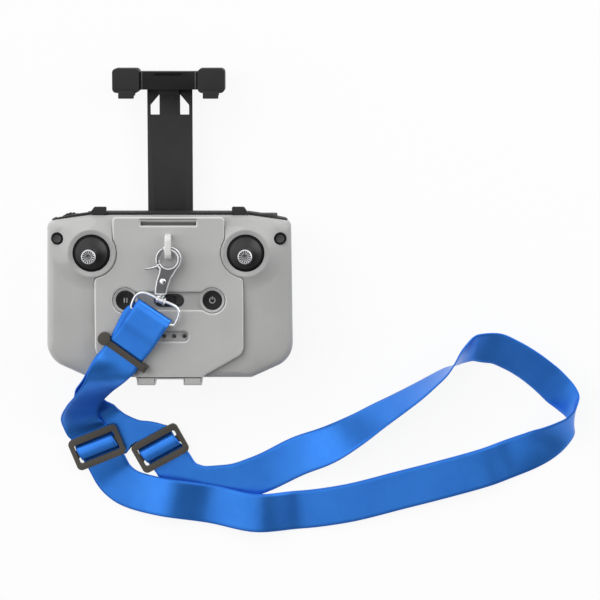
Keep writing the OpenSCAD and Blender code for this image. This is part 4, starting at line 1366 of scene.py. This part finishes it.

# %% [markdown]
# A button is turned like a coin: a rounded rim, a dished face and a narrower foot below.
# Pale bezels stand around the two round ones inside the plate's window.
# The two small ones have a ring painted dull black as the shade of the gap around them, round a dark grey
# face.


# %% Buttons and bezels
def button(name, r, place, dish, foot_r, foot_h, rim_r=0.5):
    """A dished disc on its foot, from the solid's lowest to its highest point."""
    z0, z1 = [corner[2] for corner in reach(name)]
    face_r = r - rim_r
    angles = np.linspace(1.57, 0.1, 7)
    rim = [(face_r + rim_r * math.sin(t), z1 - rim_r + rim_r * math.cos(t)) for t in angles]
    bowl = [(q, z1 - dish * (1 - (q / face_r) ** 2)) for q in face_r - np.linspace(0.25, r - 0.6, 8)]
    disc_z = z0 + foot_h - 0.1
    disc = lathe([(0, disc_z), (r, disc_z)] + rim + bowl + [(0, z1 - dish)], (*place, 0), 80)
    foot = lathe([(0, z0), (foot_r, z0), (foot_r, z0 + foot_h), (0, z0 + foot_h)], (*place, 0), 48)
    return make(name + "_skin", disc, foot)


BEZEL_IN, BEZEL_OUT = BUTTON_R - 0.2, 7.7
BEZEL = [(BEZEL_IN, FACE_Z - 1), (BEZEL_IN, PLATE_Z - 1.3), (BEZEL_IN + 0.15, PLATE_Z - 1.1)]
BEZEL += [(BEZEL_OUT - 0.45, PLATE_Z - 0.5), (BEZEL_OUT - 0.15, PLATE_Z - 0.45), (BEZEL_OUT, PLATE_Z - 0.6)]
BEZEL += [(BEZEL_OUT, FACE_Z - 1)]
for name, (side, mark) in marks.items():
    place = (side * BUTTON_X, BUTTON_Y)
    disc = button(name, BUTTON_R - 0.5, place, 0.5, 3, 1.5)
    dress(disc, name, printed(name + "_black", *place, mark), "gloss_black", name)
    bezel = make(name + "_bezel", lathe(BEZEL + BEZEL[:1], (*place, 0), 96), limit=50)
    dress(bezel, "case", shell_grey, "shell_grey")
for side, name in ((-1, "custom_button"), (1, "camera_button")):
    place = (side * SMALL_X, SMALL_Y)
    disc = button(name, SMALL_R, place, 0.45, 2, 1.2)
    dress(disc, name, dark_grey, "dark_grey", name)
    # The outer ring of each small button gets painted shade in dull black for the gap around it.
    second_finish(disc, painted_gap_shade, lambda c, n: math.dist(c[:2], place) > SMALL_R - 1.1)

# %% [markdown]
# ## Switch, wheel and shoulder parts
# These are small mouldings around the case: the switch in its track, the wheel and the release button
# on the shoulders, the black trims, the lower rest of the clamp, the lamps and the charging socket.
# They could be modelled again, but the wheel's notches and the switch key's ribs are already cut in
# their solids, so broken edges are all they need.

# %% Small controls with broken edges
for node, body, width, material, slot in (
    ("mode_track", "case", 0.2, gloss_black, "black_plastic"),
    ("mode_slider", "mode_slider", 0.25, black_plastic, "black_plastic"),
    ("thumb_dial", "thumb_dial", 0.2, black_rubber, "black_rubber"),
    ("shutter_button", "shutter_button", 0.5, dark_grey, "dark_grey"),
    ("shoulder_trims", "case", 0.4, black_plastic, "black_plastic"),
    ("phone_rest", "case", 0.35, black_rubber, "black_rubber"),
    ("status_lamps", "case", 0.3, clear_pipe, "clear_pipe"),
    ("usb_socket", "case", 0.1, steel, "steel"),
):
    dress(broken_edges(node, width), body, material, slot, node)

# %% [markdown]
# ## Sliding clamp
# A flat stem draws out of the upper edge and carries a cross bar with two rubber caps.
# Their solids have the right shapes, and the caps are soft, so their edges are rounded most.
# The bar has a shallow slot along its top and a fine groove at each end: the slot's floor is painted
# dull black as shade, and the grooves are painted pale grey as a highlight.

# %% Clamp pieces
for node, width, material, slot in (
    ("clamp_stem", 0.4, black_plastic, "black_plastic"),
    ("clamp_pads", 1.1, black_rubber, "black_rubber"),
    ("clamp_lips", 0.5, black_rubber, "black_rubber"),
):
    dress(broken_edges(node, width, 4), "clamp", material, slot, node)
bar = broken_edges("clamp_head", 0.15, 2, join=False)
dress(bar, "clamp", bar_black, "black_plastic", "clamp_head")
bar_top = reach("clamp_head")[1][2]
# Painted shade on the slot's floor, and a painted highlight on the end grooves.
second_finish(bar, painted_gap_shade, upward(bar_top - 0.55, bar_top - 0.45))
second_finish(bar, groove_painted_highlight, upward(bar_top - 0.45, bar_top - 0.3))

# %% [markdown]
# ## Trigger hook
# The hook is a plated casting whose rims stand proud of its faces, and those rims catch the light.
# Jaw and shank could be two pieces, but the casting is one, so one outline goes round both and a plate
# with a raised border gives the rim.
# The sunk faces keep the dull grey skin of the casting.

# %% Hook body
JAW, JAW_IN, JAW_OUT = (0.2, 26.1), 5.6, 8.1
HOOK_HALF = 1.7
hook_line = [(x, y, 0) for x, y in arc(JAW, JAW_OUT, -156, -134, 6)]
hook_line += [(-5.5, 18.2, 2), (-7.2, 13, 3), (-8.2, 8, 3), (-8.3, 4.3, 0.6), (-1.1, 4.3, 0.6), (0.2, 9, 4)]
hook_line += [(1.7, 13.8, 4), (4.4, 18, 3)]
hook_line += [(x, y, 0) for x, y in arc(JAW, JAW_OUT, -46, 116, 60)]
hook_line += [(x, y, 0) for x, y in arc(JAW, JAW_IN, 116, -156, 64)]
casting = plate(rounded(hook_line), [], HOOK_Z - HOOK_HALF, HOOK_Z + HOOK_HALF, 0.3, 0.3, (0.3, 0.4))
hook = make("snap_hook_skin", casting, limit=40)
dress(hook, "case", chrome, "chrome", "snap_hook")


def dull_hollows(obj, height):
    """The flat faces that lie deeper than the rims keep the grey skin of the casting."""
    second_finish(obj, cast_grey, lambda c, n: abs(n.z) > 0.9 and abs(c.z - HOOK_Z) < height)


dull_hollows(hook, 1.5)

# %% [markdown]
# The trigger closes the jaw's gap with its own piece of the ring.
# That piece is bent like wire, so a section with a groove in its faces is swept along it.
# A thin arm joins it to the rivet that it turns on, and a curved tail sticks out for the thumb.


# %% Trigger
def grooved(width, height, lip=0.5, depth=0.35, r=0.3):
    """Half a section and its mirror image: rounded sides and a groove in the top and the bottom."""
    w, h = width / 2, height / 2
    side = [(w, 0), (w, h - r), (w - 0.1 * r, h - 0.5 * r), (w - r, h), (w - lip, h),
            (w - lip - 0.15, h - depth), (0, h - depth)]
    upper = side + [(-x, y) for x, y in side[-2::-1]]
    return upper + [(-x, -y) for x, y in upper[1:-1]]


gate_line = [(x, y, HOOK_Z) for x, y in arc(JAW, 6.75, 121, 197, 24)]
gate = sweep(gate_line, grooved(2.1, 3.0))
arm_line = rounded([(-4.9, 10.6, 1), (-1.4, 13.6, 1), (-4.9, 20.2, 1), (-5.3, 23.4, 0.5), (-6.4, 25.4, 0.3),
                    (-7.3, 24.7, 0.3), (-7.2, 23, 0.4), (-8.9, 22, 0.5), (-8.9, 20.5, 0.5), (-6, 19.4, 1)])
arm = plate(arm_line, [], HOOK_Z - 0.5, HOOK_Z + 0.5, 0.2, 0.2)
tail_points = [(-6.6, 21.6), (-9.2, 20.7), (-11.8, 20.2), (-14.3, 20.1)]
tail_line = smooth_line([(x, y, HOOK_Z) for x, y in tail_points], 8)
tail_size = [1.0 - 0.3 * t + 0.25 * max(0, t - 0.85) / 0.15 for t in np.linspace(0, 1, len(tail_line))]
tail = sweep(tail_line, circle_section(0.95, 20), scale=tail_size)
trigger = make("hook_trigger_skin", gate, arm, tail, limit=40)
dress(trigger, "hook_trigger", chrome, "chrome", "hook_trigger")
dull_hollows(trigger, 1.3)

# %% [markdown]
# The rivet is one turned pin with a domed head on both sides.
# Below it the swivel's post turns in the shank, and its barrel is bored for the ring's wire.
# All three are lathes, and the barrel is turned in the table's plane to follow the ring.

# %% Rivet and swivel
RIVET, SWIVEL, RING_TURN = (-3.4, 12.5, HOOK_Z), (-4.7, 4.1, HOOK_Z), 23.3
head = [(1.9 * math.sin(t), 1.75 + 0.55 * math.cos(t)) for t in np.linspace(0.05, 1.57, 9)]
rivet_half = [(0, 2.3)] + head + [(1.2, 1.7)]
rivet_profile = rivet_half + [(r, -z) for r, z in rivet_half[::-1]]
rivet = make("trigger_rivet_skin", lathe(rivet_profile, RIVET, 48), limit=50)
dress(rivet, "case", chrome, "chrome", "trigger_rivet")
post_profile = [(0, 2.4), (0.9, 2.4), (1, 2.2), (1, -0.1), (2.4, -0.2), (2.8, -0.5), (2.8, -1.1)]
post_profile += [(2.4, -1.4), (0, -1.4)]
post = lathe(post_profile, SWIVEL, 40, "Y")
half_barrel = [(2.05, 0), (2.05, 1.3), (2.6, 1.8), (2.6, 2.6), (2.2, 3), (1.25, 3)]
barrel_profile = [(r, -z) for r, z in half_barrel[:0:-1]] + half_barrel
barrel_points, barrel_faces = lathe(barrel_profile + barrel_profile[:1], (0, 0, 0), 48, "X")
tilt = Matrix.Rotation(math.radians(-RING_TURN), 3, "Z")
barrel_c = Vector(SWIVEL) - Vector((0, 3.3, 0))
barrel = ([tilt @ Vector(p) + barrel_c for p in barrel_points], barrel_faces)
swivel = make("hook_swivel_skin", post, barrel)
dress(swivel, "case", chrome, "chrome", "hook_swivel")

# %% [markdown]
# The D-ring is bent from 2 mm wire: a straight bar for the webbing, two wide corners and a
# shallow crown that runs through the swivel's barrel.
# It is drawn flat about the bar's middle and swept, then turned and put in its place.

# %% D-ring
WIRE_R, RING_AT = 1.0, Vector((-9.9, -9.7))
ring_path = [(-12.6, 0), (-4, 0), (4, 0), (12.6, 0)] + arc((12.6, 1.9), 1.9, -60, 0, 3)
ring_path += arc((9, 6.2), 5.6, 10, 75, 6) + [(6, 11.9), (2.6, 11.85), (-2, 11.85), (-6.6, 12.1)]
ring_path += arc((-9, 6.2), 5.8, 105, 170, 6) + arc((-12.8, 1.9), 1.9, 180, 240, 3)
turn = Matrix.Rotation(math.radians(-RING_TURN), 2)
ring_path = [tuple(turn @ Vector(p) + RING_AT) + (HOOK_Z,) for p in ring_path]
d_ring = make("d_ring_skin", sweep(smooth_line(ring_path, 4, True), circle_section(WIRE_R, 20), True))
dress(d_ring, "case", chrome, "chrome", "d_ring")

# %% [markdown]
# ## Pieces that stay as they are
# What is inside needs no new shape.
# Each of these solids keeps its shape and only gets its finish and smooth shading.

# %% Finishes for the inner solids
inner = {
    "case_screws": steel, "main_board": board_green, "side_boards": board_green, "battery_pack": cell_wrap,
    "left_gimbal_frame": black_plastic, "right_gimbal_frame": black_plastic, "left_gimbal_yoke": steel,
    "right_gimbal_yoke": steel, "dial_axle": steel, "clamp_guide": black_plastic,
    "antenna_strips": copper_strip,
}
for node, material in inner.items():
    nodes[node].data.materials.clear()
    nodes[node].data.materials.append(material)
    soften_edges(nodes[node].data, 30)
print("inner solids with a finish:", len(inner))

# %% [markdown]
# ## Table and light
# The table is white and keeps a faint shadow.
# To the camera, and in reflections, it is mostly plain white; the light that it bounces stays
# that of a real pale sheet.
# More light could whiten it too, but that would bleach the object as well.


# %% White table
def white_table():
    kit = Finish("white_table", Roughness=0.9, Specular_IOR_Level=0.1)
    fibre = kit.noise(700, 3.0)
    kit.feed(Base_Color=kit.mix(fibre, tone(244, 244, 244), tone(250, 250, 250)))
    kinds = ("Is Camera Ray", "Is Glossy Ray", "Is Transmission Ray")
    direct, mirrored, through = [kit.node("ShaderNodeLightPath", out=kind) for kind in kinds]
    seen = direct + mirrored + through
    glow = kit.node("ShaderNodeEmission", {}, {"Color": (1, 1, 1, 1), "Strength": 1.0})
    share = seen.calc("MINIMUM", seen, 1.0) * 0.9
    both = kit.node("ShaderNodeMixShader", {}, {0: share, 1: Flow(kit, kit.shader.outputs[0]), 2: glow})
    kit.connect(kit.tree.nodes["Material Output"].inputs[0], both)
    return kit.material


TABLE_HALF = 3000
table_corners = [(x * TABLE_HALF, y * TABLE_HALF, 0) for x, y in ((-1, -1), (1, -1), (1, 1), (-1, 1))]
table = make("table", (table_corners, [[0, 1, 2, 3]]))
table.location.z = -0.0002
table.data.materials.append(white_table())
print("table ready")


# %% [markdown]
# Two large soft lamps stand at the upper left and the upper right, and the left one is the stronger.
# Most of its light is a fill that reflections don't show, so that it burns no spot into the satin.


# %% Soft lamps
LEFT_LAMP, RIGHT_LAMP, LAMP_AIM = (-0.98, 0.66, 0.86), (1.1, 0.6, 0.86), (0.04, 0, 0)


def lamp(name, place, size, power, mirrored=True):
    data = bpy.data.lights.new(name, "AREA")
    data.shape = "RECTANGLE"
    data.size = data.size_y = size
    data.energy = power
    obj = bpy.data.objects.new(name, data)
    scene.collection.objects.link(obj)
    obj.location = place
    obj.rotation_euler = (Vector(LAMP_AIM) - Vector(place)).to_track_quat("-Z", "Y").to_euler()
    obj.visible_glossy = mirrored


lamp("left_lamp", LEFT_LAMP, 2.2, 6)
lamp("left_fill", LEFT_LAMP, 2.2, 58, False)
lamp("right_lamp", RIGHT_LAMP, 1.2, 9)

# %% [markdown]
# The room around them is pale at the sides and darker overhead and on the near side.
# In reflections it is white with one dark patch above the near right.
# Satin that tilts towards the patch turns dark, and polished metal gets grey faces between bright rims.
# A picture of a studio could do this too, but a few ramps on the direction need no file.


# %% The room
class Studio(Finish):
    """The world's background, built with the same methods as a finish."""

    def __init__(self, world):
        self.tree = world.node_tree
        self.shader = self.tree.nodes["Background"]


DARK_PATCH_WAY = (0.45, -0.3, 0.84)
world = bpy.data.worlds.new("studio")
world.use_nodes = True
sky = Studio(world)
ray = sky.node("ShaderNodeTexCoord", out="Generated")
ahead, height = sky.axes(ray)[1:]
toward = {0: ray, 1: DARK_PATCH_WAY}
dark_patch = sky.node("ShaderNodeVectorMath", {"operation": "DOT_PRODUCT"}, toward, "Value")
near_side = ahead.ramp(-0.9, -0.15, 0.3, 1.0)
room = sky.mix(height.ramp(0.35, 0.95, 1.0, 0.1) * near_side, (0, 0, 0, 1), (0.55, 0.55, 0.55, 1))
tent = sky.mix(dark_patch.ramp(0.85, 0.95, 1.0, 0.06) * near_side, (0, 0, 0, 1), (1, 1, 1, 1))
mirrored = sky.node("ShaderNodeLightPath", out="Is Glossy Ray")
sky.feed(Color=sky.mix(mirrored, room, tent), Strength=1.0)
scene.world = world
print("room:", world.name)
